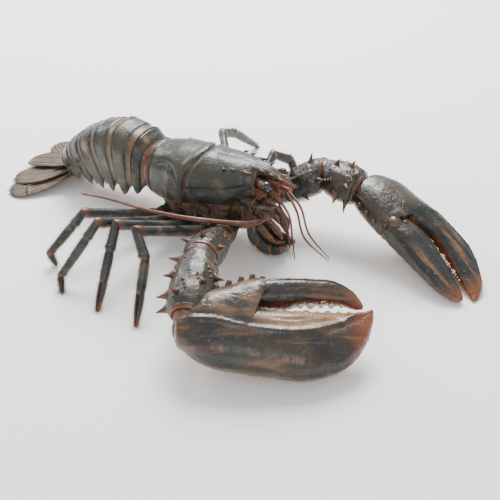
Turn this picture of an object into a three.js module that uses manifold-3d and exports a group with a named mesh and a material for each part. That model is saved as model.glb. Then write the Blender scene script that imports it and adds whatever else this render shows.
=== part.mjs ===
// American lobster, life size, standing with both claws forward and the tail fan laid on the floor.
// Millimetres, +X towards the head, +Y the animal's left, +Z up, floor at Z = 0.
import * as THREE from "three";
import { mergeVertices } from "three/addons/utils/BufferGeometryUtils.js";
import Module from "manifold-3d";

const wasm = await Module();
wasm.setup();

// Whole animal
const GAP = 0.3;
const HALF_GAP = GAP / 2;
const WELD = 1e-4;
const CENTRE_X = -89;
const CENTRE_Y = -17.5;
const RIGHT = -1;
const LEFT = 1;

// Facets round each kind of limb
const LEG_SIDES = 8;
const ARM_SIDES = 14;
const CLAW_SIDES = 20;
const SHELL_SIDES = 32;
const BACK_FACETS = 12;
const BLADE_SIDES = 12;
const ROSTRUM_SIDES = 12;
const FEELER_SIDES = 6;

// Carapace rows: x, half width, top z, waist z, lower margin z
const CARAPACE_ROWS = [
  [-184, 29, 99, 68, 40],
  [-178, 33, 104, 68, 34],
  [-162, 37, 109, 68, 31],
  [-140, 40, 113, 70, 33],
  [-122, 41, 114, 73, 37],
  [-110, 40.5, 114, 76, 41],
  [-105, 39, 112.6, 77, 43],
  [-100, 40, 114.5, 78, 44],
  [-84, 38.5, 116, 81, 49],
  [-66, 35.5, 117.5, 84, 54],
  [-50, 31, 118, 87, 60],
  [-38, 26.5, 117, 89, 66],
  [-30, 22, 113, 90, 71],
];
const CARAPACE_POWER = 2.3;
const CARAPACE_HALF_WIDTH = 40;
const GROOVE_SWEEP = 12;
const GROOVE_REACH = [-150, -70];

// Beak between the eyes: x, half width, top z, lower z
const ROSTRUM_ROWS = [
  [-62, 9, 114, 100],
  [-38, 12.5, 118.5, 104],
  [-24, 10, 118, 104],
  [-8, 6.5, 112.5, 101],
  [4, 4, 107.5, 99.5],
  [12, 1.8, 104.5, 100.5],
  [16, 0.5, 103.4, 102.4],
];

// Spines of the beak and head: x, y, z, direction (ahead, out, up), length
const HEAD_SPINES = [
  [-26, 8.5, 114, 1, 0.5, 0.35, 9],
  [-14, 6.5, 111, 1, 0.45, 0.35, 8],
  [-3, 4.6, 107, 1, 0.4, 0.35, 7],
  [-40, 19, 112, 1, 0.25, 0.3, 9],
  [-34, 24, 92, 1, 0.35, 0.1, 9],
];
const HEAD_SPINE_RADIUS = 2.6;

// Underside of the thorax: x, half width, top z, lower z
const THORAX_ROWS = [
  [-168, 18, 60, 24],
  [-158, 21, 62, 21],
  [-120, 24, 64, 21],
  [-80, 25, 66, 24],
  [-50, 23, 68, 26],
  [-34, 18, 70, 30],
];
const THORAX_POWER = 4;

// Abdomen: axis point x, z, pitch in degrees and half width at each joint, front to rear
const ABDOMEN_JOINTS = [
  [-186, 73, 4, 31],
  [-204, 77, 2, 35.5],
  [-233, 80, -8, 37],
  [-260, 74, -18, 35],
  [-285, 63, -28, 32.5],
  [-306, 50, -36, 29.5],
  [-328, 33, -40, 24],
];
const ABDOMEN_RISE = [25, 37, 39, 36, 32, 28, 22];
const ABDOMEN_BELLY = [22, 26, 27, 26, 24, 19, 12];
const ABDOMEN_POWER = 2.4;
const TERGITE_STEP = 0.94;
const PLEURON_DEPTH = [40, 50, 50, 46, 37, 24];
// Rows of a segment: share of its length, scale, share of the side plate's depth
const SEGMENT_ROWS = [
  [0, TERGITE_STEP, 0.64],
  [0.3, TERGITE_STEP, 0.82],
  [0.38, 1, 0.9],
  [0.66, 1, 1],
  [1, 1, 0.7],
];
// Side of the section below the waist: share of the half width, share of the plate's depth
const PLEURON_OUTLINE = [
  [1, 0.33],
  [0.99, 0.68],
  [0.95, 0.9],
  [0.91, 1],
  [0.86, 0.9],
  [0.82, 0.72],
];
// Underside of the section: share of the half width, share of the belly's depth
const BELLY_OUTLINE = [
  [0.76, 1],
  [0.38, 1.06],
];
const BELLY_KEEL = 1.08;
const SWIMMERET_SEGMENTS = [1, 2, 3, 4];
const SWIMMERET_REACH = 20;
const SWIMMERET_SPREAD = 0.45;
const SWIMMERET_LEAN = 3;
const SWIMMERET_ROWS = [[0, 2.5, 2.5], [0.35, 3, 5], [0.75, 2, 6], [1, 1, 2]];

// Tail fan blades: rows along the length, path, half widths at the rows, half thickness
const BLADE_SHARES = [0, 0.12, 0.35, 0.62, 0.85, 0.96, 1];
const BLADE_THINNING = 0.45;
const BLADE_EDGE = 0.5;
const BLADES = {
  telson: {
    path: [[-323, 0, 34], [-360, 0, 22], [-418, 2, 0.4]],
    wide: [12, 20, 23, 21, 18, 13, 6],
    thick: 4,
  },
  uropod_right_inner: {
    path: [[-326, -12, 26], [-360, -28, 14], [-406, -50, 0.4]],
    wide: [6, 11, 19, 21, 18, 12, 5],
    thick: 3.2,
  },
  uropod_left_inner: {
    path: [[-326, 12, 26], [-360, 28, 14], [-406, 50, 0.4]],
    wide: [6, 11, 19, 21, 18, 12, 5],
    thick: 3.2,
  },
  uropod_right_outer: {
    path: [[-324, -16.5, 21], [-350, -38, 10], [-386, -80, 1]],
    wide: [6, 11, 18, 21, 20, 15, 7],
    thick: 3.2,
  },
  uropod_left_outer: {
    path: [[-324, 16.5, 21], [-350, 38, 10], [-386, 80, 1]],
    wide: [6, 11, 18, 21, 20, 15, 7],
    thick: 3.2,
  },
};
// Raised rib down the middle of a blade: shares of the length it spans, half width, height
const RIB_SHARES = [0.16, 0.5, 0.9];
const RIB_HALF_WIDTH = 2.4;
const RIB_HEIGHT = 1.4;

/** A point as a vector. */
const at = (list) => new THREE.Vector3(list[0], list[1], list[2]);

/** The same point on the other side of the body. */
const mirrored = (list, side) => [list[0], list[1] * side, list[2]];

/** Closes rings of points into one skin with a point at each end, facing outwards. */
function skin(rings, first, last) {
  const around = rings[0].length;
  const shape = new THREE.SphereGeometry(1, around, rings.length + 1);
  const place = shape.attributes.position;
  for (let row = 0; row <= rings.length + 1; row += 1) {
    for (let col = 0; col <= around; col += 1) {
      const inside = row > 0 && row <= rings.length;
      const end = row === 0 ? first : last;
      const spot = inside ? rings[row - 1][col % around] : end;
      place.setXYZ(row * (around + 1) + col, spot.x, spot.y, spot.z);
    }
  }
  return outward(welded(shape));
}

/** Drops shading data and joins doubled points. */
function welded(shape) {
  shape.deleteAttribute("normal");
  shape.deleteAttribute("uv");
  return mergeVertices(shape, WELD);
}

/** Signed volume of a closed skin. */
function volume(shape) {
  const place = shape.attributes.position;
  const a = new THREE.Vector3();
  const b = new THREE.Vector3();
  const c = new THREE.Vector3();
  let total = 0;
  for (let i = 0; i < shape.index.count; i += 3) {
    a.fromBufferAttribute(place, shape.index.getX(i));
    b.fromBufferAttribute(place, shape.index.getX(i + 1));
    c.fromBufferAttribute(place, shape.index.getX(i + 2));
    total += a.dot(b.cross(c)) / 6;
  }
  return total;
}

/** Turns a skin the right way out. */
function outward(shape) {
  if (volume(shape) < 0) {
    const order = shape.index.array;
    for (let i = 0; i < order.length; i += 3) {
      [order[i], order[i + 1]] = [order[i + 1], order[i]];
    }
  }
  return shape;
}

/** One superellipse ring about a centre: half width along side, rise along up, drop below. */
function ring(centre, side, up, wide, rise, drop, power, around) {
  const points = [];
  for (let i = 0; i < around; i += 1) {
    const turn = (i / around) * Math.PI * 2;
    const c = Math.cos(turn);
    const s = Math.sin(turn);
    const across = Math.sign(c) * Math.abs(c) ** (2 / power) * wide;
    const tall = Math.sign(s) * Math.abs(s) ** (2 / power) * (s > 0 ? rise : drop);
    points.push(centre.clone().addScaledVector(side, across).addScaledVector(up, tall));
  }
  return points;
}

/** Slides a ring along a direction until it lies in a plane through a point. */
function settle(points, along, origin, normal) {
  const slope = along.dot(normal);
  return points.map((point) => {
    const away = origin.clone().sub(point).dot(normal) / slope;
    return point.clone().addScaledVector(along, away);
  });
}

/**
 * A limb along a curve. Rows: share of the length, half width, rise, drop.
 * The end planes take a neighbour's direction, so that two limbs meet face to face.
 */
function limb(spec, grow = 0) {
  const { path, rows, up = [0, 0, 1], around = LEG_SIDES, power = 2, before, after } = spec;
  const curve = new THREE.CatmullRomCurve3(path.map(at), false, "centripetal");
  const rings = rows.map(([share, wide, rise, drop]) => {
    const centre = curve.getPointAt(share);
    const along = curve.getTangentAt(share);
    const side = at(up).cross(along).normalize();
    const lift = along.clone().cross(side);
    const low = (drop ?? rise) + grow;
    return ring(centre, side, lift, wide + grow, rise + grow, low, power, around);
  });
  const start = curve.getPointAt(0);
  const end = curve.getPointAt(1);
  const out = curve.getTangentAt(0);
  const away = curve.getTangentAt(1);
  const face = before ? at(before).add(out).normalize() : out;
  const back = after ? at(after).add(away).normalize() : away;
  start.addScaledVector(face, (before ? HALF_GAP : 0) - grow);
  end.addScaledVector(back, grow - (after ? HALF_GAP : 0));
  rings[0] = settle(rings[0], out, start, face);
  rings[rings.length - 1] = settle(rings[rings.length - 1], away, end, back);
  return skin(rings, start, end);
}

/** A skin made of rows along X: x, half width, top z, waist z, lower z. */
function hull(rows, power, around, grow = 0, sweep = () => 0) {
  const lastRow = rows.length - 1;
  const rings = rows.map(([x, wide, top, waist, low], i) => {
    const reach = i === 0 ? -grow : i === lastRow ? grow : 0;
    const centre = new THREE.Vector3(x + reach, 0, waist);
    const side = new THREE.Vector3(0, 1, 0);
    const up = new THREE.Vector3(0, 0, 1);
    const rise = top - waist + grow;
    const drop = waist - low + grow;
    const points = ring(centre, side, up, wide + grow, rise, drop, power, around);
    points.forEach((point) => {
      point.x += sweep(point, x);
    });
    return points;
  });
  const first = middle(rings[0]);
  const last = middle(rings[lastRow]);
  return skin(rings, first, last);
}

/** Mean of a ring's points. */
function middle(points) {
  const sum = new THREE.Vector3();
  points.forEach((point) => sum.add(point));
  return sum.divideScalar(points.length);
}

/** A skin as a solid that can be joined and cut. */
function solid(shape) {
  const vertProperties = Float32Array.from(shape.attributes.position.array);
  const triVerts = Uint32Array.from(shape.index.array);
  return new wasm.Manifold(new wasm.Mesh({ numProp: 3, vertProperties, triVerts }));
}

/** Joins skins, cuts others away and keeps the largest body. */
function carve(bodies, cutters = []) {
  let whole = solid(bodies[0]);
  bodies.slice(1).forEach((body) => {
    whole = whole.add(solid(body));
  });
  cutters.forEach((cutter) => {
    whole = whole.subtract(solid(cutter));
  });
  const pieces = whole.decompose();
  pieces.sort((a, b) => b.volume() - a.volume());
  const mesh = pieces[0].getMesh();
  const shape = new THREE.BufferGeometry();
  shape.setAttribute("position", new THREE.BufferAttribute(mesh.vertProperties, mesh.numProp));
  shape.setIndex(new THREE.BufferAttribute(mesh.triVerts, 1));
  return shape;
}

/** A block from one corner to another. */
function block(low, high) {
  const size = at(high).sub(at(low));
  const centre = at(high).add(at(low)).multiplyScalar(0.5);
  const shape = new THREE.BoxGeometry(size.x, size.y, size.z);
  shape.translate(centre.x, centre.y, centre.z);
  return welded(shape);
}

const FLOOR_CUT = block([-600, -400, -80], [400, 400, 0]);

const group = new THREE.Group();

// Surfaces: colour, roughness
const FINISH = {
  back: { color: 0x27332d, roughness: 0.38 },
  tail: { color: 0x2b352c, roughness: 0.42 },
  fan: { color: 0x3a3424, roughness: 0.48 },
  claw: { color: 0x2f2f22, roughness: 0.35 },
  arm: { color: 0x33301f, roughness: 0.4 },
  leg: { color: 0x3d4a3c, roughness: 0.45 },
  belly: { color: 0x8a6746, roughness: 0.6 },
  feeler: { color: 0x7a3420, roughness: 0.55 },
  eye: { color: 0x0c0c0e, roughness: 0.12 },
};

/** Adds one named piece, moved so that the animal stands centred on the origin. */
function piece(name, shape, surface) {
  const finish = new THREE.MeshStandardMaterial({ ...surface, metalness: 0 });
  shape.translate(-CENTRE_X, -CENTRE_Y, 0);
  const mesh = new THREE.Mesh(shape, finish);
  mesh.name = name;
  group.add(mesh);
}


// Walking legs: root, bend, knee, wrist, tip in right-side places
const LEGS = {
  right_1: [[-72, 20, 33], [-74, 46, 36], [-106, 148, 80], [-83, 164, 60], [-67, 209, 0]],
  right_2: [[-100, 20, 31], [-104, 46, 32], [-144, 139, 70], [-134, 165, 52], [-121, 211, 0]],
  right_3: [[-128, 18, 29], [-132, 44, 29], [-160, 153, 75], [-187, 196, 14], [-176, 208, 0]],
  right_4: [[-152, 16, 27], [-160, 42, 27], [-201, 131, 62], [-225, 172, 18], [-219, 169, 0]],
  left_1: [[-72, 20, 33], [-72, 46, 36], [-82, 115, 59], [-68, 138, 43], [-36, 122, 0]],
  left_2: [[-100, 20, 31], [-108, 46, 34], [-168, 123, 63], [-168, 154, 48], [-164, 210, 0]],
  left_3: [[-128, 18, 29], [-134, 44, 29], [-192, 80, 60], [-216, 88, 14], [-220, 84, 0]],
  left_4: [[-152, 16, 27], [-164, 40, 27], [-232, 60, 52], [-276, 66, 12], [-284, 62, 0]],
};
// Limb rows: share of the length, half width, rise, drop where it differs from the rise
const UPPER_ROWS = [
  [0, 7.5, 7.5],
  [0.16, 7, 7],
  [0.3, 6, 7],
  [0.6, 5.5, 7],
  [0.9, 5.5, 6.5],
  [1, 6, 6.5],
];
const SHORT_ROWS = [[0, 5.5, 6], [0.4, 5.5, 6], [1, 5, 5.5]];
const HAND_ROWS = [[0, 5, 5.5], [0.35, 5.5, 6], [0.6, 5, 4.6], [0.85, 4, 3], [1, 2.6, 1.4]];
const SLOT_START = 0.52;
const SLOT_END = 1.05;
const FOOT_SINK = 1;
const SHIN_TILT = 0.4;
const SLOT_ROWS = [[0, 0.3, 9], [1, 1, 9]];
const SHANK_ROWS = [[0, 5.5, 6], [0.3, 5.2, 5.6], [0.5, 5.5, 6], [1, 4, 4.4]];
const CLAW_TIP_ROWS = [[0, 3.6, 4], [0.5, 3, 3.2], [1, 1.3, 1.3]];

/** The skins of one walking leg, root to tip. */
function legParts(name, spots, side) {
  const [root, bend, knee, wrist, tip] = spots.map((spot) => mirrored(spot, side));
  const chelate = name.endsWith("_1") || name.endsWith("_2");
  const shin = at(wrist).sub(at(knee)).normalize().toArray();
  const thigh = at(knee).sub(at(bend)).normalize().toArray();
  const end = at(tip).sub(at(wrist)).normalize().toArray();
  const out = [0, side, SHIN_TILT];
  const low = [tip[0], tip[1], tip[2] - FOOT_SINK];
  const split = at(wrist).lerp(at(low), SLOT_START).toArray();
  const past = at(wrist).lerp(at(low), SLOT_END).toArray();
  return {
    upper: { path: [root, bend, knee], rows: UPPER_ROWS, after: shin },
    mid: {
      path: [knee, wrist],
      rows: chelate ? SHORT_ROWS : SHANK_ROWS,
      up: out,
      before: thigh,
      after: end,
    },
    foot: {
      path: [wrist, low],
      rows: chelate ? HAND_ROWS : CLAW_TIP_ROWS,
      up: out,
      before: shin,
    },
    slot: chelate ? { path: [split, past], rows: SLOT_ROWS, up: out } : null,
  };
}

const legs = Object.entries(LEGS).map(([name, spots]) => ({
  name: `leg_${name}`,
  parts: legParts(name, spots, name.startsWith("right") ? RIGHT : LEFT),
}));

legs.forEach(({ name, parts }) => {
  piece(`${name}_upper`, carve([limb(parts.upper)]), FINISH.leg);
  piece(`${name}_shin`, carve([limb(parts.mid)]), FINISH.leg);
  const slots = parts.slot ? [limb(parts.slot)] : [];
  piece(`${name}_foot`, carve([limb(parts.foot)], [FLOOR_CUT, ...slots]), FINISH.leg);
});

// Arms that carry the claws: root, elbow, knee, wrist
const ARMS = {
  crusher: [[-56, -17, 42], [-46, -62, 46], [-22, -142, 74], [13, -220, 58]],
  pincer: [[-56, 17, 42], [-44, 44, 46], [10, 86, 74], [64, 82, 69]],
};
const ISCHIUM_ROWS = [[0, 10, 11], [0.4, 11, 12], [0.85, 13, 14], [1, 13, 13]];
const MERUS_ROWS = [
  [0, 12.5, 12.5],
  [0.18, 15, 15, 17],
  [0.5, 19, 19, 22],
  [0.76, 22, 21, 22],
  [1, 20, 19, 19],
];
const CARPUS_ROWS = [
  [0, 18, 18, 18],
  [0.3, 24, 23, 22],
  [0.6, 26, 24, 24],
  [0.85, 24, 22, 22],
  [1, 17, 17, 17],
];

// Claws: origin, direction of the fingers, direction from the lower to the upper edge
const CRUSHER = {
  origin: [12, -219, 51.6],
  along: [153, 112, -12],
  across: [-28, 50, 35],
  hinge: [[61, 12], [93, 47]],
  gapeRise: 8,
  palm: [
    [-11, -25, 4, 16],
    [-2, -33, 13, 22],
    [14, -44, 27, 26],
    [30, -50, 34, 28],
    [56, -54, 41, 29],
    [78, -57, 46, 28],
    [92, -59, 36, 28],
    [102, -61, 14, 27],
    [116, -64, 9, 26],
    [136, -62, 8, 24],
    [160, -54, 8, 19],
    [180, -38, 9, 14],
    [191, -20, 11, 9],
    [197, -3, 13, 4],
  ],
  moving: [
    [78, 14, 45, 17],
    [102, 14, 47, 18],
    [122, 18, 46, 17],
    [146, 19, 46, 15],
    [164, 18, 41, 12],
    [177, 14, 33, 8],
    [184, 13, 24, 4],
    [187, 13, 17, 1.5],
  ],
  fixedTeeth: { from: 92, to: 184, count: 9, edge: 9, size: 5.2, shrink: 0.45 },
  movingTeeth: { from: 98, to: 176, count: 8, edge: 16.5, size: 4.6, shrink: 0.45 },
};
const PINCER = {
  origin: [66, 82, 68],
  along: [169, -50, -65.5],
  across: [0.25, 1, 0],
  hinge: [[64, 17], [58, -40]],
  gapeRise: -67,
  palm: [
    [-8, -12, 30, 14],
    [4, -20, 42, 19],
    [20, -23, 49, 22],
    [46, -25, 52, 23],
    [62, -24, 53, 22],
    [72, 4, 54, 20],
    [84, 20, 55, 19],
    [105, 22, 55, 17],
    [130, 17, 55, 14],
    [150, 12, 50, 11],
    [168, 7, 40, 8],
    [182, 3, 28, 5],
    [190, 0, 12, 2.5],
  ],
  moving: [
    [62, -22, 14, 16],
    [82, -24, 15, 17],
    [104, -25, 16, 15],
    [130, -27, 10, 12.5],
    [150, -27, 4, 10],
    [166, -24, -1, 7],
    [177, -19, -6, 4.5],
    [182, -15, -10, 2.5],
  ],
  fixedTeeth: { from: 90, to: 172, count: 8, edge: 21, drop: -0.17, size: 2.6, shrink: 0.35 },
  movingTeeth: { from: 90, to: 166, count: 8, edge: 15.5, drop: -0.22, size: 2.4, shrink: 0.35 },
};
const CLAW_POWER = 2.2;
const HINGE_REACH = 2.2;
const GAPE_END = 260;
const GAPE_DEPTH = 160;
const TOOTH_SINK = 0.35;
const SPINE_ROOT = 4;
const SPINE_SIDES = 6;
const SPINE_SLACK = 4;
const SPINE_RADIUS = 3;
const TOOTH_FACETS = [6, 4];

/** A claw's own axes: along the fingers, across towards the upper edge, out of the back. */
function axes(claw) {
  const along = at(claw.along).normalize();
  const across = at(claw.across);
  across.addScaledVector(along, -across.dot(along)).normalize();
  return { along, across, out: along.clone().cross(across) };
}

/** A point of a claw from its own axes. */
function clawPoint(claw, u, v, w = 0) {
  const { along, across, out } = axes(claw);
  const spot = at(claw.origin).addScaledVector(along, u);
  return spot.addScaledVector(across, v).addScaledVector(out, w);
}

/** A part of a claw from rows: distance along, lower edge, upper edge, half thickness. */
function clawPart(claw, rows, hinged = false, grow = 0) {
  const { along, across, out } = axes(claw);
  const last = rows.length - 1;
  const rings = rows.map(([u, low, high, thick]) => {
    const centre = clawPoint(claw, u, (low + high) / 2);
    const half = (high - low) / 2 + grow;
    return ring(centre, across, out, half, thick + grow, thick + grow, CLAW_POWER, CLAW_SIDES);
  });
  if (hinged) {
    const [start, end] = claw.hinge.map(([u, v]) => clawPoint(claw, u + GAP - grow, v));
    const face = end.sub(start).cross(out).normalize();
    rings[0] = settle(rings[0], along, start, face);
  }
  return skin(rings, middle(rings[0]), middle(rings[last]));
}

/** The space over the fixed finger, open from the hinge line to beyond the tips. */
function gape(claw) {
  const [near, edge] = claw.hinge.map(([u, v]) => new THREE.Vector2(u, v));
  const far = near.clone().lerp(edge, HINGE_REACH);
  const beyond = (v) => new THREE.Vector2(GAPE_END, v);
  const outline = new THREE.Shape([near, far, beyond(far.y), beyond(near.y + claw.gapeRise)]);
  const shape = new THREE.ExtrudeGeometry(outline, { depth: GAPE_DEPTH, bevelEnabled: false });
  const { along, across, out } = axes(claw);
  const place = new THREE.Matrix4().makeBasis(along, across, out);
  shape.translate(0, 0, -GAPE_DEPTH / 2);
  shape.applyMatrix4(place.setPosition(at(claw.origin)));
  return outward(welded(shape));
}

/** Rounded teeth along a finger's edge, largest at the root. */
function teeth(claw, row, inner) {
  const lumps = [];
  for (let i = 0; i < row.count; i += 1) {
    const share = i / (row.count - 1);
    const size = row.size * (1 - row.shrink * share);
    const u = THREE.MathUtils.lerp(row.from, row.to, share);
    const v = row.edge + (row.drop ?? 0) * (u - row.from) - inner * size * TOOTH_SINK;
    const lump = welded(new THREE.SphereGeometry(size, ...TOOTH_FACETS));
    const spot = clawPoint(claw, u, v);
    lumps.push(lump.translate(spot.x, spot.y, spot.z));
  }
  return lumps;
}

/** A pointed spine: root in the shell, tip away from it. */
function spine(spot, way, length, radius, grow = 0) {
  const tall = length + SPINE_ROOT + grow * SPINE_SLACK;
  const shape = new THREE.ConeGeometry(radius + grow * 2, tall, SPINE_SIDES);
  shape.translate(0, (length - SPINE_ROOT) / 2, 0);
  const up = new THREE.Vector3(0, 1, 0);
  shape.applyQuaternion(new THREE.Quaternion().setFromUnitVectors(up, at(way).normalize()));
  const bare = welded(shape);
  return bare.translate(spot.x, spot.y, spot.z);
}

/** The row values at a share between rows. */
function between(rows, share) {
  const next = Math.max(1, rows.findIndex(([t]) => t >= share));
  const [near, far] = [rows[next - 1], rows[next]];
  const part = (share - near[0]) / (far[0] - near[0]);
  return near.map((value, i) => THREE.MathUtils.lerp(value, far[i] ?? far[2], part));
}

/** Spines on a limb: share of its length, degrees round it, length, lean towards the tip. */
function limbSpines(spec, list, grow = 0) {
  const curve = new THREE.CatmullRomCurve3(spec.path.map(at), false, "centripetal");
  return list.map(([share, degrees, length, lean, radius = SPINE_RADIUS]) => {
    const along = curve.getTangentAt(share);
    const side = at(spec.up ?? [0, 0, 1]).cross(along).normalize();
    const lift = along.clone().cross(side);
    const [, wide, rise, drop = rise] = between(spec.rows, share);
    const turn = THREE.MathUtils.degToRad(degrees);
    const tall = Math.sin(turn) > 0 ? rise : drop;
    const out = side.clone().multiplyScalar(Math.cos(turn)).addScaledVector(lift, Math.sin(turn));
    const spot = curve.getPointAt(share).addScaledVector(side, Math.cos(turn) * wide);
    spot.addScaledVector(lift, Math.sin(turn) * tall);
    return spine(spot, out.addScaledVector(along, lean).toArray(), length, radius, grow);
  });
}

// Spines of the arms: share of the length, degrees round it, length, lean, root radius
const ARM_SPINES = {
  crusher_merus: [[0.85, 150, 9, 0.8], [0.9, 95, 9, 0.8], [0.9, 30, 9, 0.8]],
  crusher_carpus: [
    [0.42, 20, 9, 0.5, 4],
    [0.78, 15, 10, 0.5, 4],
    [0.62, 60, 7, 0.5],
    [0.8, 120, 8, 0.6],
    [0.45, 155, 9, 0.6, 4],
    [0.75, 165, 9, 0.6, 4],
  ],
  pincer_merus: [[0.5, 100, 9, 0.2], [0.85, 80, 10, 0.6], [0.88, 160, 9, 0.7], [0.55, 200, 9, 0.4]],
  pincer_carpus: [
    [0.3, 95, 7, 0.3],
    [0.62, 80, 7, 0.3],
    [0.6, 190, 12, 0.4, 4.5],
    [0.85, 205, 13, 0.4],
    [0.85, 110, 8, 0.6],
    [0.8, 150, 9, 0.6],
  ],
};
// Knobs on the claws' upper edge: distance along, distance across, length, root radius
const PALM_KNOBS = {
  crusher: [[30, 30, 8, 5], [43, 34, 9, 5], [56, 38, 9, 5], [68, 41, 9, 5], [79, 40, 8, 5]],
  pincer: [[14, -18, 7, 4], [28, -20, 7, 4], [42, -21, 7, 4], [54, -20, 6, 4]],
};

const thoraxCuts = [];
Object.entries(ARMS).forEach(([name, spots]) => {
  const [root, elbow, knee, wrist] = spots;
  const first = at(elbow).sub(at(root)).normalize().toArray();
  const second = at(knee).sub(at(elbow)).normalize().toArray();
  const third = at(wrist).sub(at(knee)).normalize().toArray();
  const claw = name === "crusher" ? CRUSHER : PINCER;
  const shared = { around: ARM_SIDES };
  const ischium = { path: [root, elbow], rows: ISCHIUM_ROWS, after: second, ...shared };
  thoraxCuts.push(limb(ischium, GAP));
  const merus = { path: [elbow, knee], rows: MERUS_ROWS, before: first, after: third, ...shared };
  const carpus = { path: [knee, wrist], rows: CARPUS_ROWS, before: second, ...shared };
  const merusSpines = limbSpines(merus, ARM_SPINES[`${name}_merus`]);
  const carpusSpines = limbSpines(carpus, ARM_SPINES[`${name}_carpus`]);
  const upward = name === "crusher" ? 1 : -1;
  const { across } = axes(claw);
  const knobs = PALM_KNOBS[name].map(([u, v, length, radius]) =>
    spine(clawPoint(claw, u, v), across.clone().multiplyScalar(upward).toArray(), length, radius),
  );
  const palmTeeth = teeth(claw, claw.fixedTeeth, upward);
  const fingerTeeth = teeth(claw, claw.movingTeeth, -upward);
  piece(`${name}_ischium`, carve([limb(ischium)]), FINISH.arm);
  piece(`${name}_merus`, carve([limb(merus), ...merusSpines]), FINISH.arm);
  piece(`${name}_carpus`, carve([limb(carpus), ...carpusSpines]), FINISH.arm);
  const hand = carve([clawPart(claw, claw.palm)], [gape(claw)]);
  const wristCuts = limbSpines(carpus, ARM_SPINES[`${name}_carpus`], GAP);
  const fingerRoom = clawPart(claw, claw.moving, true, GAP);
  const cuts = [limb(carpus, GAP), ...wristCuts, fingerRoom, FLOOR_CUT];
  const palm = carve([hand, ...palmTeeth, ...knobs], cuts);
  piece(`${name}_palm`, palm, FINISH.claw);
  const finger = carve([clawPart(claw, claw.moving, true), ...fingerTeeth], [FLOOR_CUT]);
  piece(`${name}_finger`, finger, FINISH.claw);
});

// Head: eyes, feelers and mouth limbs
const EYE_SPOT = [-13, 18, 101];
const EYE_RADIUS = 6.5;
const EYE_STALK = {
  path: [[-34, 11, 101], [-14, 17.5, 101]],
  rows: [[0, 5, 5], [0.6, 5, 5], [1, 5.5, 5.5]],
};
const SCAPE = {
  path: [[-42, 19, 76], [-20, 23, 72], [-6, 26, 66]],
  rows: [[0, 8, 8], [0.35, 9, 9], [0.6, 8, 8], [0.8, 6.5, 6.5], [1, 4.2, 4.2]],
  around: 12,
};
const ANTENNAL_SCALE = {
  path: [[-24, 26, 76], [-8, 29, 80], [4, 27, 82]],
  rows: [[0, 4, 3], [0.35, 5, 2.2], [0.75, 3.6, 1.8], [1, 0.8, 0.8]],
};
const FLAGELLUM = {
  right: [
    [-6, -26, 66],
    [-14, -40, 63],
    [-67, -78, 70],
    [-127, -95, 71],
    [-188, -100, 70],
    [-222, -108, 70],
  ],
  left: [
    [-6, 26, 66],
    [-12, 38, 72],
    [-40, 50, 80],
    [-90, 56, 76],
    [-150, 55, 74],
    [-222, 52, 76],
  ],
};
const FLAGELLUM_ROWS = [0, 0.03, 0.08, 0.16, 0.24, 0.33, 0.42, 0.52, 0.62, 0.72, 0.82, 0.92, 1];
const FLAGELLUM_THICK = 3.6;
const FLAGELLUM_THIN = 1.3;
const ANTENNULE = {
  right: [
    [[-34, -6, 92], [-14, -8, 90], [2, -12, 84]],
    [[-2, -10, 86], [22, -24, 76], [37, -42, 62], [50, -58, 45]],
    [[-2, -12, 85], [18, -26, 72], [30, -39, 63], [39, -50, 52]],
  ],
  left: [
    [[-34, 6, 92], [-14, 8, 90], [2, 8, 88]],
    [[-2, 7, 88], [24, -10, 76], [48, -33, 60], [84, -40, 45]],
    [[-2, 9, 89], [27, -6, 80], [52, -29, 64], [82, -33, 43]],
  ],
};
const MAXILLIPED = {
  path: [[-38, 8, 35], [-30, 12, 18], [-10, 13, 10], [12, 10, 15]],
  rows: [[0, 6, 7], [0.2, 7, 8.5], [0.5, 6.5, 8], [0.75, 5.5, 7], [0.92, 4, 5], [1, 2, 2.5]],
  around: 10,
};
const ANTENNULE_STEM_ROWS = [[0, 4.5, 4.5], [0.5, 4, 4], [1, 2.8, 2.8]];
const ANTENNULE_THREAD_ROWS = [[0, 1.6, 1.6], [0.3, 1.5, 1.5], [0.65, 1.2, 1.2], [1, 0.7, 0.7]];
const carapaceCuts = [];

const flip = (spec, side) => ({ ...spec, path: spec.path.map((spot) => mirrored(spot, side)) });

[["right", RIGHT], ["left", LEFT]].forEach(([word, side]) => {
  const ball = (grow) => {
    const shape = welded(new THREE.SphereGeometry(EYE_RADIUS + grow, 12, 8));
    return shape.translate(...mirrored(EYE_SPOT, side));
  };
  const stalk = flip({ ...EYE_STALK, around: LEG_SIDES }, side);
  piece(`eye_${word}`, carve([limb(stalk), ball(0)]), FINISH.eye);
  carapaceCuts.push(limb(stalk, GAP), ball(GAP));
  const line = FLAGELLUM[word];
  const base = flip(SCAPE, side);
  const after = at(line[1]).sub(at(line[0])).normalize().toArray();
  const before = at(base.path[2]).sub(at(base.path[1])).normalize().toArray();
  const scale = limb(flip(ANTENNAL_SCALE, side));
  piece(`antenna_base_${word}`, carve([limb({ ...base, after }), scale]), FINISH.arm);
  carapaceCuts.push(limb(base, GAP));
  const rows = FLAGELLUM_ROWS.map((share) => {
    const thick = THREE.MathUtils.lerp(FLAGELLUM_THICK, FLAGELLUM_THIN, share);
    return [share, thick, thick];
  });
  const lash = limb({ path: line, rows, around: FEELER_SIDES, before });
  piece(`antenna_${word}`, carve([lash]), FINISH.feeler);
  const [stem, ...branches] = ANTENNULE[word];
  const stemSpec = { path: stem, rows: ANTENNULE_STEM_ROWS, around: LEG_SIDES };
  const threads = branches.map((path) =>
    limb({ path, rows: ANTENNULE_THREAD_ROWS, around: FEELER_SIDES }),
  );
  piece(`antennule_${word}`, carve([limb(stemSpec), ...threads]), FINISH.feeler);
  carapaceCuts.push(limb(stemSpec, GAP));
  const mouth = flip(MAXILLIPED, side);
  piece(`maxilliped_${word}`, carve([limb(mouth)]), FINISH.leg);
  thoraxCuts.push(limb(mouth, GAP));
});

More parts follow.
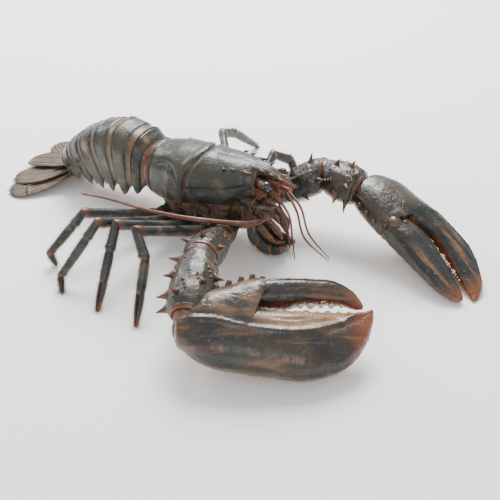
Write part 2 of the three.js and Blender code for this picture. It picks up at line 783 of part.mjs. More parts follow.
// Abdomen
/** Frame of the abdomen at a share of one segment: centre, directions and sizes. */
function abdomenFrame(index, share) {
  const near = ABDOMEN_JOINTS[index];
  const far = ABDOMEN_JOINTS[index + 1];
  const [x, z, pitch, wide] = near.map((value, i) => THREE.MathUtils.lerp(value, far[i], share));
  const angle = THREE.MathUtils.degToRad(pitch);
  return {
    centre: new THREE.Vector3(x, 0, z),
    back: new THREE.Vector3(-Math.cos(angle), 0, Math.sin(angle)),
    up: new THREE.Vector3(Math.sin(angle), 0, Math.cos(angle)),
    wide,
    rise: THREE.MathUtils.lerp(ABDOMEN_RISE[index], ABDOMEN_RISE[index + 1], share),
    belly: THREE.MathUtils.lerp(ABDOMEN_BELLY[index], ABDOMEN_BELLY[index + 1], share),
  };
}

/** One ring of a segment: arched back, a side plate hanging at each side, flat belly. */
function segmentRing(index, [share, scale, depth], shift, grow) {
  const { centre, back, up, wide, rise, belly } = abdomenFrame(index, share);
  const side = new THREE.Vector3(0, 1, 0);
  const middle = centre.addScaledVector(back, shift);
  const half = wide * scale + grow;
  const plate = PLEURON_DEPTH[index] * depth + grow;
  const floor = belly * scale + grow;
  const spots = [];
  for (let i = 0; i <= BACK_FACETS; i += 1) {
    const turn = (i / BACK_FACETS) * Math.PI;
    const c = Math.cos(turn);
    const across = Math.sign(c) * Math.abs(c) ** (2 / ABDOMEN_POWER) * half;
    spots.push([across, Math.sin(turn) ** (2 / ABDOMEN_POWER) * (rise * scale + grow)]);
  }
  const flank = PLEURON_OUTLINE.map(([out, down]) => [out * half, -down * plate]);
  flank.push(...BELLY_OUTLINE.map(([out, down]) => [out * half, -down * floor]));
  spots.push(...flank.map(([out, down]) => [-out, down]), [0, -BELLY_KEEL * floor]);
  spots.push(...flank.reverse());
  return spots.map(([out, tall]) =>
    middle.clone().addScaledVector(side, out).addScaledVector(up, tall),
  );
}

/** One segment of the abdomen between two joints. */
function segment(index, grow = 0) {
  const last = SEGMENT_ROWS.length - 1;
  const rings = SEGMENT_ROWS.map((row, i) => {
    const shift = i === 0 ? HALF_GAP - grow : i === last ? grow - HALF_GAP : 0;
    return segmentRing(index, row, shift, grow);
  });
  const ends = [0, 1].map((share) => {
    const { centre, back } = abdomenFrame(index, share);
    return centre.addScaledVector(back, (share ? -1 : 1) * (HALF_GAP - grow));
  });
  return skin(rings, ends[0], ends[1]);
}

/** The paddle that hangs from one side of a segment's belly. */
function swimmeret(index, side) {
  const { centre, back, up, wide, belly } = abdomenFrame(index, 0.5);
  const out = side * wide * SWIMMERET_SPREAD;
  const heights = [2 - belly, -belly - SWIMMERET_REACH / 2, -belly - SWIMMERET_REACH];
  const path = heights.map((tall, i) => {
    const spot = centre.clone().addScaledVector(up, tall);
    spot.addScaledVector(back, i * SWIMMERET_LEAN);
    return [spot.x, out, spot.z];
  });
  return limb({ path, rows: SWIMMERET_ROWS, up: back.toArray(), around: FEELER_SIDES });
}

/** A flat blade of the tail fan. */
function blade(spec, grow = 0) {
  const last = BLADE_SHARES.length - 1;
  const rows = BLADE_SHARES.map((share, i) => {
    const thick = spec.thick * (1 - BLADE_THINNING * share) * (i === last ? BLADE_EDGE : 1);
    return [share, spec.wide[i], thick];
  });
  return limb({ path: spec.path, rows, around: BLADE_SIDES }, grow);
}

/** The raised rib down the middle of a blade. */
function bladeRib(spec) {
  const curve = new THREE.CatmullRomCurve3(spec.path.map(at), false, "centripetal");
  const path = RIB_SHARES.map((share) => curve.getPointAt(share).toArray());
  const rows = [0, 0.5, 1].map((share, i) => {
    const rise = spec.thick * (1 - BLADE_THINNING * RIB_SHARES[i]) + RIB_HEIGHT * (1 - share / 2);
    return [share, RIB_HALF_WIDTH, rise, 1];
  });
  return limb({ path, rows, around: FEELER_SIDES });
}

const fanOrder = Object.keys(BLADES);
const lastSegment = PLEURON_DEPTH.length - 1;
fanOrder.forEach((name, i) => {
  const cutters = fanOrder.slice(0, i).map((other) => blade(BLADES[other], GAP));
  cutters.push(segment(lastSegment, GAP));
  const bodies = [blade(BLADES[name]), bladeRib(BLADES[name])];
  piece(name, carve(bodies, [...cutters, FLOOR_CUT]), FINISH.fan);
});

for (let index = 0; index <= lastSegment; index += 1) {
  const bodies = [segment(index)];
  if (SWIMMERET_SEGMENTS.includes(index)) {
    bodies.push(swimmeret(index, RIGHT), swimmeret(index, LEFT));
  }
  piece(`abdomen_${index + 1}`, carve(bodies), FINISH.tail);
}

// Thorax and carapace
const thoraxRows = THORAX_ROWS.map(([x, wide, top, low]) => [x, wide, top, (top + low) / 2, low]);
const thorax = hull(thoraxRows, THORAX_POWER, CLAW_SIDES);
legs.forEach(({ parts }) => thoraxCuts.push(limb(parts.upper, GAP)));
piece("thorax_underside", carve([thorax], thoraxCuts), FINISH.belly);

const rostrumRows = ROSTRUM_ROWS.map(([x, wide, top, low]) => [x, wide, top, (top + low) / 2, low]);
const groove = ({ y }, x) => {
  const near = x > GROOVE_REACH[0] && x < GROOVE_REACH[1];
  return near ? -GROOVE_SWEEP * (y / CARAPACE_HALF_WIDTH) ** 2 : 0;
};
const carapace = hull(CARAPACE_ROWS, CARAPACE_POWER, SHELL_SIDES, 0, groove);
const rostrum = hull(rostrumRows, 2, ROSTRUM_SIDES);
const headSpines = [RIGHT, LEFT].flatMap((side) =>
  HEAD_SPINES.map(([x, y, z, ahead, out, lift, length]) =>
    spine(at([x, side * y, z]), [ahead, side * out, lift], length, HEAD_SPINE_RADIUS),
  ),
);
carapaceCuts.push(hull(thoraxRows, THORAX_POWER, CLAW_SIDES, GAP), segment(0, GAP));
legs.forEach(({ parts }) => carapaceCuts.push(limb(parts.upper, GAP)));
const shell = [carapace, rostrum, ...headSpines];
piece("carapace", carve(shell, carapaceCuts), FINISH.back);

export default group;
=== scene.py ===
"""American lobster, life size, as a still museum model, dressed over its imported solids.

Sizes are in millimetres in the animal's own axes: x towards the head, y to its left, z up
from the floor. They are measured from the point on the floor under the front of the eyes and
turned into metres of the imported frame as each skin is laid.
"""

import logging
import math
from dataclasses import dataclass, field
from enum import Enum
from typing import Optional, Sequence

import bmesh
import bpy
import numpy as np
from mathutils import Matrix, Vector, noise

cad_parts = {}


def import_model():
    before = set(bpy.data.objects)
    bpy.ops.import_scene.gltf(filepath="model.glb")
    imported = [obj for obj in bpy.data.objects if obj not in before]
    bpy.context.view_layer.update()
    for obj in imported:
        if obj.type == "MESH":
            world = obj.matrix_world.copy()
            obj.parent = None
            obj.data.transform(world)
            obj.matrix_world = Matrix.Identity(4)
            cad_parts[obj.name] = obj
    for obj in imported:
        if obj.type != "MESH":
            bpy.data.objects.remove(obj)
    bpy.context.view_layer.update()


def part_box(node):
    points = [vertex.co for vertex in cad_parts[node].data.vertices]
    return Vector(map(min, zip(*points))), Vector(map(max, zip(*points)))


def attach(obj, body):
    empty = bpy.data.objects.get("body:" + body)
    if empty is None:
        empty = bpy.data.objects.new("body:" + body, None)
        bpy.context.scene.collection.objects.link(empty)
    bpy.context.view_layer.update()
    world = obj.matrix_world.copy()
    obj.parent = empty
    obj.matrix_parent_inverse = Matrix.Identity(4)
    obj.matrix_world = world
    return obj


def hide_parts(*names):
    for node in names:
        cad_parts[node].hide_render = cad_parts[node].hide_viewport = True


log = logging.getLogger("lobster")

Array = np.ndarray
Point = Sequence[float]
Rows = Sequence[Sequence[float]]
Socket = bpy.types.NodeSocket
Colour = tuple[float, float, float]

MM = 0.001
WELD = 1e-6
EYE_FRONT = -6.5
UP = (0.0, 0.0, 1.0)
FACING_DOWN = (0.35, 0.85)
HAIR_FOOT = 0.0006
HAIR_CLEARANCE = 0.0004

ROUND_END = ((0.97, 0.6), (0.86, 1.4), (0.6, 2.1), (0.3, 2.4), (0.0, 2.5))
FLAT_END = ((0.985, 0.15), (0.93, 0.3), (0.6, 0.3), (0.0, 0.3))
CUP_END = ((0.98, 0.35), (0.92, 0.3), (0.86, -0.6), (0.6, -1.4), (0.0, -1.6))
TIP_END = ((0.7, 0.3), (0.0, 0.5))
SOCKET_END = (
    (0.992, 0.7), (0.97, 1.1), (0.93, 0.8), (0.89, -0.6), (0.84, -2.6), (0.72, -4.6),
    (0.45, -5.8), (0.0, -6.2),
)
LEG_ROOTS = ((-72, 20, 33), (-100, 20, 31), (-128, 18, 29), (-152, 16, 27))


class Side(Enum):
    """A side of the animal, as the sign of its y."""

    RIGHT = -1
    LEFT = 1

    @property
    def word(self) -> str:
        """The side's name as the frame's nodes have it."""
        return self.name.lower()


def unit(vector: Point) -> Array:
    """The vector at length one."""
    line = np.asarray(vector, float)
    return line / np.linalg.norm(line)


def mirrored(points: Rows, side: Side) -> list[tuple[float, float, float]]:
    """The same points on a side of the body."""
    return [(x, y * side.value, z) for x, y, z in points]


def monotone(knots: Point, rows: Rows, places: Point) -> Array:
    """Smooth values through rows without overshoot.

    Args:
        knots: where each row stands, rising.
        rows: one row of values per knot.
        places: where the values are wanted.

    Returns:
        One row of values per place.
    """
    x = np.asarray(knots, float)
    y = np.asarray(rows, float).reshape(len(x), -1)
    step = np.diff(x)[:, None]
    slope = np.diff(y, axis=0) / step
    near, far = slope[:-1], slope[1:]
    same = near * far > 0
    middle = np.where(same, 2 * near * far / np.where(same, near + far, 1), 0)
    tangent = np.vstack([slope[:1], middle, slope[-1:]])
    at = np.clip(np.asarray(places, float), x[0], x[-1])
    cell = np.clip(np.searchsorted(x, at, side="right") - 1, 0, len(x) - 2)
    width = step[cell]
    t = (at - x[cell])[:, None] / width
    rise = (3 - 2 * t) * t * t
    return (
        y[cell] * (1 - rise)
        + y[cell + 1] * rise
        + width * tangent[cell] * t * (1 - t) ** 2
        - width * tangent[cell + 1] * t * t * (1 - t)
    )


def bell(values: Array, centre: float, width: float) -> Array:
    """A smooth bump of height one round a centre."""
    return np.exp(-(((values - centre) / width) ** 2))


def ramp(values: Array, low: float, high: float) -> Array:
    """Smooth rise from nought at low to one at high."""
    t = np.clip((values - low) / (high - low), 0, 1)
    return t * t * (3 - 2 * t)


def lumps(points: Array, size: float, seed: float = 0.0) -> Array:
    """Soft three-dimensional noise between about -1 and 1 at each point of a grid.

    Args:
        points: grid of points in millimetres.
        size: size of one lump in millimetres.
        seed: shift that makes another pattern.

    Returns:
        One value per point of the grid.
    """
    flat = points.reshape(-1, 3) / size + seed
    values = [noise.noise(Vector(spot)) for spot in flat]
    return np.array(values).reshape(points.shape[:-1])


def normals(points: Array) -> Array:
    """Outward directions of a grid that closes round its second axis.

    Args:
        points: grid of points.

    Returns:
        One direction of length one per point.
    """
    along = np.gradient(points, axis=0)
    wrapped = np.concatenate([points[:, -2:-1], points, points[:, 1:2]], axis=1)
    around = wrapped[:, 2:] - wrapped[:, :-2]
    way = np.cross(around, along)
    way /= np.maximum(np.linalg.norm(way, axis=2, keepdims=True), 1e-9)
    spoke = points - points.mean(axis=1, keepdims=True)
    return way * (1 if (spoke * way).sum() > 0 else -1)


def pushed(points: Array, height: Array) -> Array:
    """The grid with every point moved outwards by a height."""
    return points + normals(points) * height[..., None]


def closing(ring: Array, inner: Array, profile: Rows) -> list[Array]:
    """Rows that close one end of a grid.

    Args:
        ring: the last ring of the grid.
        inner: a ring further in, which shows the way out.
        profile: share of the ring and distance outwards of each closing row.

    Returns:
        The closing rows, from the ring outwards.
    """
    centre = ring[:-1].mean(axis=0)
    out = centre - inner[:-1].mean(axis=0)
    out /= max(np.linalg.norm(out), 1e-9)
    return [centre + (ring - centre) * share + out * push for share, push in profile]


def capped(points: Array, first: Rows = ROUND_END, last: Rows = ROUND_END) -> Array:
    """Closes both ends of a grid with rows that shrink to a point.

    Args:
        points: grid of rings.
        first: share of the ring and distance outwards of each closing row at the start.
        last: the same at the end.

    Returns:
        The grid with its closing rows.
    """
    head = closing(points[0], points[2], first)[::-1]
    tail = closing(points[-1], points[-3], last)
    return np.concatenate([np.array(head), points, np.array(tail)])


class Curve:
    """A smooth curve through points, measured by its length."""

    SAMPLES = 60
    STRIDE = 0.01

    def __init__(self, points: Rows) -> None:
        """Samples the curve.

        Args:
            points: the points it passes, in millimetres.
        """
        knots = np.asarray(points, float)
        ends = (2 * knots[0] - knots[1], 2 * knots[-1] - knots[-2])
        every = np.vstack([ends[0], knots, ends[1]])
        t = np.linspace(0, 1, self.SAMPLES, endpoint=False)[:, None]
        spots = []
        for a, b, c, d in zip(every, every[1:], every[2:], every[3:]):
            spots.append(self._span(a, b, c, d, t))
        spots.append(knots[-1:])
        self.spots = np.vstack(spots)
        steps = np.linalg.norm(np.diff(self.spots, axis=0), axis=1)
        self.reach = np.concatenate([[0], np.cumsum(steps)])
        self.length = float(self.reach[-1])

    @staticmethod
    def _span(a: Array, b: Array, c: Array, d: Array, t: Array) -> Array:
        """Points of one span of the curve.

        Args:
            a: the knot before the span.
            b: the knot where it starts.
            c: the knot where it ends.
            d: the knot after it.
            t: places along the span from nought to one.

        Returns:
            One point per place.
        """
        near, mid, far = (math.sqrt(np.linalg.norm(q - p)) for p, q in ((a, b), (b, c), (c, d)))
        start = ((b - a) / near - (c - a) / (near + mid) + (c - b) / mid) * mid
        end = ((c - b) / mid - (d - b) / (mid + far) + (d - c) / far) * mid
        return (
            b + start * t + (-3 * b + 3 * c - 2 * start - end) * t * t
            + (2 * b - 2 * c + start + end) * t**3
        )

    def at(self, shares: Point) -> Array:
        """Points at shares of the length."""
        want = np.clip(np.asarray(shares, float), 0, 1) * self.length
        return np.stack([np.interp(want, self.reach, self.spots[:, i]) for i in range(3)], axis=-1)

    def tangent(self, shares: Point) -> Array:
        """Directions at shares of the length.

        Args:
            shares: from nothing at the start to one at the end.

        Returns:
            One direction per share.
        """
        at = np.asarray(shares, float)
        line = self.at(at + self.STRIDE) - self.at(at - self.STRIDE)
        return line / np.linalg.norm(line, axis=-1, keepdims=True)


def turns(around: int) -> Array:
    """Angles round a section, the last closing on the first."""
    return np.linspace(0, 2 * math.pi, around + 1)


def oval(turn: Array, power: Array | float = 2.0) -> tuple[Array, Array]:
    """Unit superellipse.

    Args:
        turn: angles round it, the last closing on the first.
        power: two for a round section, more for a boxy one.

    Returns:
        How far across and how far up each point lies.
    """
    c, s = np.cos(turn), np.sin(turn)
    c[-1], s[-1] = c[0], s[0]
    across = np.sign(c) * np.abs(c) ** (2 / power)
    tall = np.sign(s) * np.abs(s) ** (2 / power)
    return across, tall


@dataclass
class Limb:
    """A limb along a curve, with rows of share, half width, rise and drop."""

    path: Rows
    rows: Rows
    up: Point = UP
    power: float = 2.0
    before: Optional[Array] = None
    after: Optional[Array] = None
    mitre: float = 0.24

    def frames(self, shares: Point) -> tuple[Array, Array, Array, Array]:
        """Axes of the limb.

        Args:
            shares: places as shares of the length.

        Returns:
            Centre, direction, side and lift at each place.
        """
        curve = Curve(self.path)
        centre, along = curve.at(shares), curve.tangent(shares)
        side = np.cross(np.broadcast_to(np.asarray(self.up, float), along.shape), along)
        side /= np.linalg.norm(side, axis=-1, keepdims=True)
        return centre, along, side, np.cross(along, side)

    def sizes(self, shares: Point) -> Array:
        """Half width, rise and drop at shares of the length."""
        rows = [(r[1], r[2], r[3] if len(r) > 3 else r[2]) for r in self.rows]
        return monotone([r[0] for r in self.rows], rows, shares)

    def grid(self, count: int, around: int) -> Array:
        """Rings of points from the limb's start to its end.

        Args:
            count: number of rings.
            around: number of points round each ring.

        Returns:
            The open grid; its ends lie in the planes shared with the neighbours.
        """
        shares = np.linspace(0, 1, count)
        centre, along, side, lift = self.frames(shares)
        wide, rise, drop = self.sizes(shares).T
        across, tall = oval(turns(around), self.power)
        height = np.where(tall > 0, rise[:, None], drop[:, None]) * tall
        spread = side[:, None] * (wide[:, None] * across)[..., None]
        points = centre[:, None] + spread + lift[:, None] * height[..., None]
        for end, way in ((0, self.before), (-1, self.after)):
            if way is None:
                continue
            face = unit(np.asarray(way) + along[end])
            slide = ((centre[end] - points[end]) @ face) / (along[end] @ face)
            fade = ramp(np.abs(shares - shares[end]), self.mitre, 0.0)
            points += (fade[:, None] * slide)[..., None] * along[:, None]
        return points

    def spot(self, share: float, degrees: float, lean: float) -> tuple[Array, Array]:
        """A place on the limb's skin where a spine or hair grows.

        Args:
            share: place as a share of the length.
            degrees: angle round the limb from its side.
            lean: how far the spine leans along the limb.

        Returns:
            The point and the way the spine points.
        """
        centre, along, side, lift = (part[0] for part in self.frames([share]))
        wide, rise, drop = self.sizes([share])[0]
        c, s = math.cos(math.radians(degrees)), math.sin(math.radians(degrees))
        root = centre + side * c * wide + lift * s * (rise if s > 0 else drop)
        return root, unit(side * c + lift * s + along * lean)


class Work:
    """A piece in the making: closed skins gathered into one mesh.

    THORN holds the height and the width of each ring of a spine, as shares of its length and
    its radius. ASKEW is a direction that no spine lies along. The floor point that all places
    are measured from is kept in origin, in metres.
    """

    THORN = ((-0.45, 1.15), (-0.12, 1.3), (0.0, 1.16), (0.12, 0.92), (0.3, 0.7), (0.5, 0.5),
             (0.7, 0.33), (0.86, 0.2), (0.96, 0.1))
    THORN_SIDES = 10
    ASKEW = (0.31, 0.2, 0.93)
    origin = Vector((0.0, 0.0, 0.0))

    def __init__(self, name: str) -> None:
        """Starts an empty piece.

        Args:
            name: the finished piece's name.
        """
        self.name = name
        self.bm = bmesh.new()

    def skin(self, points: Array, pale: Array | float = 0.0, rust: Array | float = 0.0) -> None:
        """Lays one closed skin from a grid whose ends have shrunk to points.

        Args:
            points: grid of points in millimetres, closed round its second axis.
            pale: share of the pale colour at each point: the real pale underside, and on the crusher's
                palm also a painted highlight over its crest.
            rust: share of the orange colour at each point.
        """
        rows, around = points.shape[0] - 1, points.shape[1] - 1
        part = bmesh.new()
        bmesh.ops.create_grid(part, x_segments=rows, y_segments=around, size=1.0)
        flat = bpy.data.meshes.new("skin")
        part.to_mesh(flat)
        spots = np.empty(len(flat.vertices) * 3)
        flat.vertices.foreach_get("co", spots)
        spots = spots.reshape(-1, 3)
        row = np.rint((spots[:, 0] + 1) / 2 * rows).astype(int)
        column = np.rint((spots[:, 1] + 1) / 2 * around).astype(int)
        place = points[row, column]
        place[:, 2] = np.maximum(place[:, 2], 0)
        place = place * MM + np.asarray(self.origin)
        flat.vertices.foreach_set("co", place.ravel())
        for word, tone in (("pale", pale), ("rust", rust)):
            values = np.broadcast_to(np.asarray(tone, float), points.shape[:2])[row, column]
            layer = flat.attributes.new(word, "FLOAT", "POINT")
            layer.data.foreach_set("value", values.astype(np.float32))
        part.clear()
        part.from_mesh(flat)
        bmesh.ops.remove_doubles(part, verts=part.verts[:], dist=WELD)
        bmesh.ops.recalc_face_normals(part, faces=part.faces[:])
        part.to_mesh(flat)
        part.free()
        self.bm.from_mesh(flat)
        bpy.data.meshes.remove(flat)

    def thorn(self, root: Point, way: Point, length: float, radius: float, blunt: float = 0.12,
              rust: float = 0.9, bend: Point = (0, 0, 0)) -> None:
        """Grows a spine with a flared foot.

        Args:
            root: point of the shell it grows from.
            way: direction of its tip.
            length: height over the shell.
            radius: radius at the foot.
            blunt: share of the radius left at the tip.
            rust: share of orange at the tip.
            bend: how far the tip leans aside, in millimetres.
        """
        tall, wide = np.array(self.THORN).T
        wide = np.maximum(wide, blunt * (1 - np.clip(tall, 0, 1) * 0.4)) * radius
        along = unit(way)
        side = unit(np.cross(along, self.ASKEW))
        lift = np.cross(along, side)
        across, up = oval(turns(self.THORN_SIDES))
        centre = np.asarray(root, float) + np.outer(tall * length, along)
        centre += np.outer(np.clip(tall, 0, 1) ** 2, np.asarray(bend, float))
        ring = across[:, None] * side + up[:, None] * lift
        points = centre[:, None] + ring[None] * wide[:, None, None]
        points = capped(points, ((0.0, 0.2),), ((0.6, 0.03 * length), (0.0, 0.05 * length)))
        share = np.clip(np.linspace(-0.3, 1.1, points.shape[0]), 0, 1)
        self.skin(points, 0.0, (share * rust)[:, None])

    def ball(self, centre: Point, radii: Point, turn: Optional[Matrix] = None,
             pale: float = 0.0, rust: float = 0.0, segments: int = 14) -> None:
        """Lays an egg shape.

        Args:
            centre: its middle.
            radii: its three half sizes.
            turn: how it is turned.
            pale: share of the pale colour.
            rust: share of the orange colour.
            segments: facets round it.
        """
        polar = np.linspace(0, math.pi, segments // 2 + 2)
        across, up = oval(turns(segments))
        unit_ball = np.stack([
            np.broadcast_to(np.cos(polar)[:, None], (len(polar), len(across))),
            np.sin(polar)[:, None] * across,
            np.sin(polar)[:, None] * up,
        ], axis=-1)
        unit_ball[0, :, 1:] = unit_ball[-1, :, 1:] = 0
        shape = unit_ball * np.asarray(radii, float)
        if turn is not None:
            shape = shape @ np.asarray(turn.to_3x3()).T
        self.skin(shape + np.asarray(centre, float), pale, rust)

    def bristle(self, root: Point, way: Point, length: float, radius: float) -> None:
        """Grows one stiff hair from a cone, clear of the floor.

        Args:
            root: point of the shell it grows from.
            way: direction of its tip.
            length: its length.
            radius: radius at its foot.
        """
        along = Vector(way).normalized()
        spot = Vector(np.asarray(root, float) * MM) + self.origin
        spot.z = max(spot.z, HAIR_FOOT)
        middle = spot + along * length * MM / 2
        middle.z = max(middle.z, HAIR_CLEARANCE + abs(along.z) * length * MM / 2)
        turn = Vector(UP).rotation_difference(along).to_matrix().to_4x4()
        bmesh.ops.create_cone(
            self.bm, cap_ends=True, segments=3, radius1=radius * MM, radius2=radius * MM * 0.15,
            depth=length * MM, matrix=Matrix.Translation(middle) @ turn,
        )

    def worn(self, points: Array, height: float, size: float, first: Rows = ROUND_END,
             last: Rows = ROUND_END, pale: Array | float = 0.0,
             rust: Array | float = 0.0) -> None:
        """Closes a grid and lays it as a skin with soft lumps.

        Args:
            points: grid of rings.
            height: how far the lumps rise.
            size: how long they are.
            first: how the grid's start closes.
            last: how its end closes.
            pale: share of the pale colour.
            rust: share of the orange colour.
        """
        self.skin(*whole(points, height * lumps(points, size), first, last, pale, rust))

    def finish(self, finish: "Finish", slot: str, *nodes: str) -> bpy.types.Object:
        """Turns the gathered skins into a piece of the model.

        Args:
            finish: the surface it is given.
            slot: not used.
            nodes: the solids it stands for.

        Returns:
            The finished object.
        """
        mesh = bpy.data.meshes.new(f"{self.name}_skin")
        self.bm.to_mesh(mesh)
        self.bm.free()
        mesh.shade_smooth()
        mesh.materials.append(finish.material())
        piece = bpy.data.objects.new(f"{self.name}_skin", mesh)
        bpy.context.scene.collection.objects.link(piece)
        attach(piece, "root")
        if nodes:
            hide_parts(*nodes)
        log.info("%s: %d faces", piece.name, len(mesh.polygons))
        return piece


class Sheet:
    """A node tree in the making, with short calls for the nodes that finishes share."""

    def __init__(self, name: str) -> None:
        """Starts an empty material.

        Args:
            name: the material's name.
        """
        self.material = bpy.data.materials.new(name)
        self.material.use_nodes = True
        self.tree = self.material.node_tree
        self.shader = self.tree.nodes["Principled BSDF"]
        self.place = self.tree.nodes.new("ShaderNodeTexCoord").outputs["Object"]

    def link(self, value: object, socket: Socket) -> None:
        """Joins an output to a socket, or sets the socket's own value.

        Args:
            value: another node's output, a number or a colour.
            socket: the socket that takes it.
        """
        if isinstance(value, bpy.types.NodeSocket):
            self.tree.links.new(value, socket)
        else:
            socket.default_value = value

    def dressed(self, **values: object) -> bpy.types.Material:
        """Fills the shader's sockets.

        Args:
            values: a pattern, number or colour for each socket, by the socket's name.

        Returns:
            The finished material.
        """
        for word, value in values.items():
            self.link(value, self.shader.inputs[word.replace("_", " ").title()])
        return self.material

    def noise(self, scale: float, detail: float = 3.0, distortion: float = 0.0,
              place: Optional[Socket] = None) -> Socket:
        """Cloudy pattern.

        Args:
            scale: waves per metre.
            detail: number of finer layers.
            distortion: how much it swirls.
            place: the coordinates, the object's own if none are given.

        Returns:
            The pattern's output.
        """
        node = self.tree.nodes.new("ShaderNodeTexNoise")
        self.link(place or self.place, node.inputs["Vector"])
        node.inputs["Scale"].default_value = scale
        node.inputs["Detail"].default_value = detail
        node.inputs["Distortion"].default_value = distortion
        return node.outputs["Fac"]

    def cells(self, scale: float, smooth: bool = False) -> Socket:
        """Distance to the nearest of scattered points, for pits and grains.

        Args:
            scale: points per metre.
            smooth: whether the cells run into each other.

        Returns:
            The distance's output.
        """
        node = self.tree.nodes.new("ShaderNodeTexVoronoi")
        node.feature = "SMOOTH_F1" if smooth else "F1"
        self.link(self.place, node.inputs["Vector"])
        node.inputs["Scale"].default_value = scale
        return node.outputs["Distance"]

    def stretched(self, size: Point, turn: Point) -> Socket:
        """Object coordinates in turned axes, measured in streaks.

        Args:
            size: a streak's size along each axis, in metres.
            turn: how the axes are turned, in radians.

        Returns:
            The coordinates' output.
        """
        node = self.tree.nodes.new("ShaderNodeMapping")
        node.vector_type = "TEXTURE"
        self.link(self.place, node.inputs["Vector"])
        node.inputs["Scale"].default_value = size
        node.inputs["Rotation"].default_value = turn
        return node.outputs["Vector"]

    def tone(self, word: str) -> Socket:
        """A value that the piece's own points carry.

        Args:
            word: the attribute's name.

        Returns:
            The value's output.
        """
        node = self.tree.nodes.new("ShaderNodeAttribute")
        node.attribute_name = word
        return node.outputs["Fac"]

    def spread(self, value: Socket, low: float, high: float, floor: float = 0.0,
               roof: float = 1.0) -> Socket:
        """Stretches a value from one range to another.

        Args:
            value: the value.
            low: the value that becomes floor.
            high: the value that becomes roof.
            floor: the new range's start.
            roof: the new range's end.

        Returns:
            The stretched value's output.
        """
        node = self.tree.nodes.new("ShaderNodeMapRange")
        node.interpolation_type = "SMOOTHSTEP"
        self.link(value, node.inputs["Value"])
        for word, number in zip(("From Min", "From Max", "To Min", "To Max"),
                                (low, high, floor, roof)):
            node.inputs[word].default_value = number
        return node.outputs["Result"]

    def product(self, a: Socket, b: Socket) -> Socket:
        """Multiplies two values.

        Args:
            a: one value.
            b: the other.

        Returns:
            Their product's output.
        """
        node = self.tree.nodes.new("ShaderNodeMath")
        node.operation = "MULTIPLY"
        self.link(a, node.inputs[0])
        self.link(b, node.inputs[1])
        return node.outputs["Value"]

    def blend(self, share: Socket, a: object, b: object) -> Socket:
        """Mixes two colours.

        Args:
            share: how much of the second there is.
            a: the first colour, plain or a pattern.
            b: the second.

        Returns:
            The mixed colour's output.
        """
        node = self.tree.nodes.new("ShaderNodeMix")
        node.data_type = "RGBA"
        self.link(share, node.inputs["Factor"])
        for value, socket in ((a, node.inputs[6]), (b, node.inputs[7])):
            self.link((*value, 1.0) if isinstance(value, tuple) else value, socket)
        return node.outputs[2]

    def bump(self, height: Socket, depth: float, strength: float,
             before: Optional[Socket] = None) -> Socket:
        """Raises the surface by a height pattern.

        Args:
            height: the pattern.
            depth: its depth in metres.
            strength: how strongly it shows.
            before: a bump that it is laid over.

        Returns:
            The raised normal's output.
        """
        node = self.tree.nodes.new("ShaderNodeBump")
        self.link(height, node.inputs["Height"])
        node.inputs["Distance"].default_value = depth
        node.inputs["Strength"].default_value = strength
        if before is not None:
            self.link(before, node.inputs["Normal"])
        return node.outputs["Normal"]


@dataclass(frozen=True)
class Finish:
    """A surface by its name; each kind builds its own nodes once."""

    name: str

    def material(self) -> bpy.types.Material:
        """The material of this finish, made on first use."""
        return bpy.data.materials.get(self.name) or self.build()

    def build(self) -> bpy.types.Material:
        """Makes the material."""
        raise NotImplementedError


@dataclass(frozen=True)
class Shell(Finish):
    """Hard mottled shell with pits, speckles, rusty edges and a pale underside; the pale colour also
    paints a highlight over the crusher's crest.

    The patterns' scales are in waves per metre, and pit and streak are in metres.
    """

    dark: Colour = (0.005, 0.010, 0.011)
    mid: Colour = (0.036, 0.036, 0.019)
    light: Colour = (0.19, 0.11, 0.045)
    rust: Colour = (0.24, 0.055, 0.014)
    pale: Colour = (0.42, 0.25, 0.13)
    mottle: float = 26.0
    grain: float = 420.0
    pit: float = 0.00045
    rough: float = 0.36
    coat: float = 0.25
    streak: Point = (0.03, 0.016, 0.016)
    turn: Point = (0.0, 0.0, 0.0)
    fleck: float = 260.0
    ragged: float = 170.0
    dent: float = 120.0
    worn: float = 90.0

    def build(self) -> bpy.types.Material:
        """Makes the mottled shell, from its clouds of colour to its pits.

        Returns:
            The finished material.
        """
        sheet = Sheet(self.name)
        clouds = sheet.spread(sheet.noise(self.mottle, 4, 0.4), 0.36, 0.66)
        colour = sheet.blend(clouds, self.dark, self.mid)
        streaks = sheet.noise(1.0, 4, 0.6, sheet.stretched(self.streak, self.turn))
        colour = sheet.blend(sheet.spread(streaks, 0.52, 0.78, 0, 0.75), colour, self.light)
        speckle = sheet.spread(sheet.cells(self.grain * 0.42), 0.1, 0.34, 0.5, 0)
        colour = sheet.blend(speckle, colour, self.dark)
        flecks = sheet.spread(sheet.noise(self.fleck, 2), 0.62, 0.74, 0, 0.45)
        colour = sheet.blend(flecks, colour, self.light)
        ragged = sheet.noise(self.ragged, 3)
        rusty = sheet.product(sheet.tone("rust"), sheet.spread(ragged, 0.2, 0.6, 0.45, 1))
        colour = sheet.blend(rusty, colour, self.rust)
        # Pale colour: the real pale underside, and on the crusher's palm also a painted highlight over
        # the crest.
        under = sheet.product(sheet.tone("pale"), sheet.spread(ragged, 0.25, 0.6, 0.6, 1))
        colour = sheet.blend(under, colour, self.pale)
        wear = sheet.spread(sheet.noise(self.worn, 4), 0.3, 0.7, self.rough - 0.07, self.rough + 0.16)
        pits = sheet.spread(sheet.cells(self.grain, True), 0.05, 0.5)
        normal = sheet.bump(pits, self.pit, 0.55)
        normal = sheet.bump(sheet.noise(self.dent, 4), self.pit * 2.4, 0.5, normal)
        return sheet.dressed(base_color=colour, roughness=wear, normal=normal,
                             coat_weight=self.coat, coat_roughness=0.22)


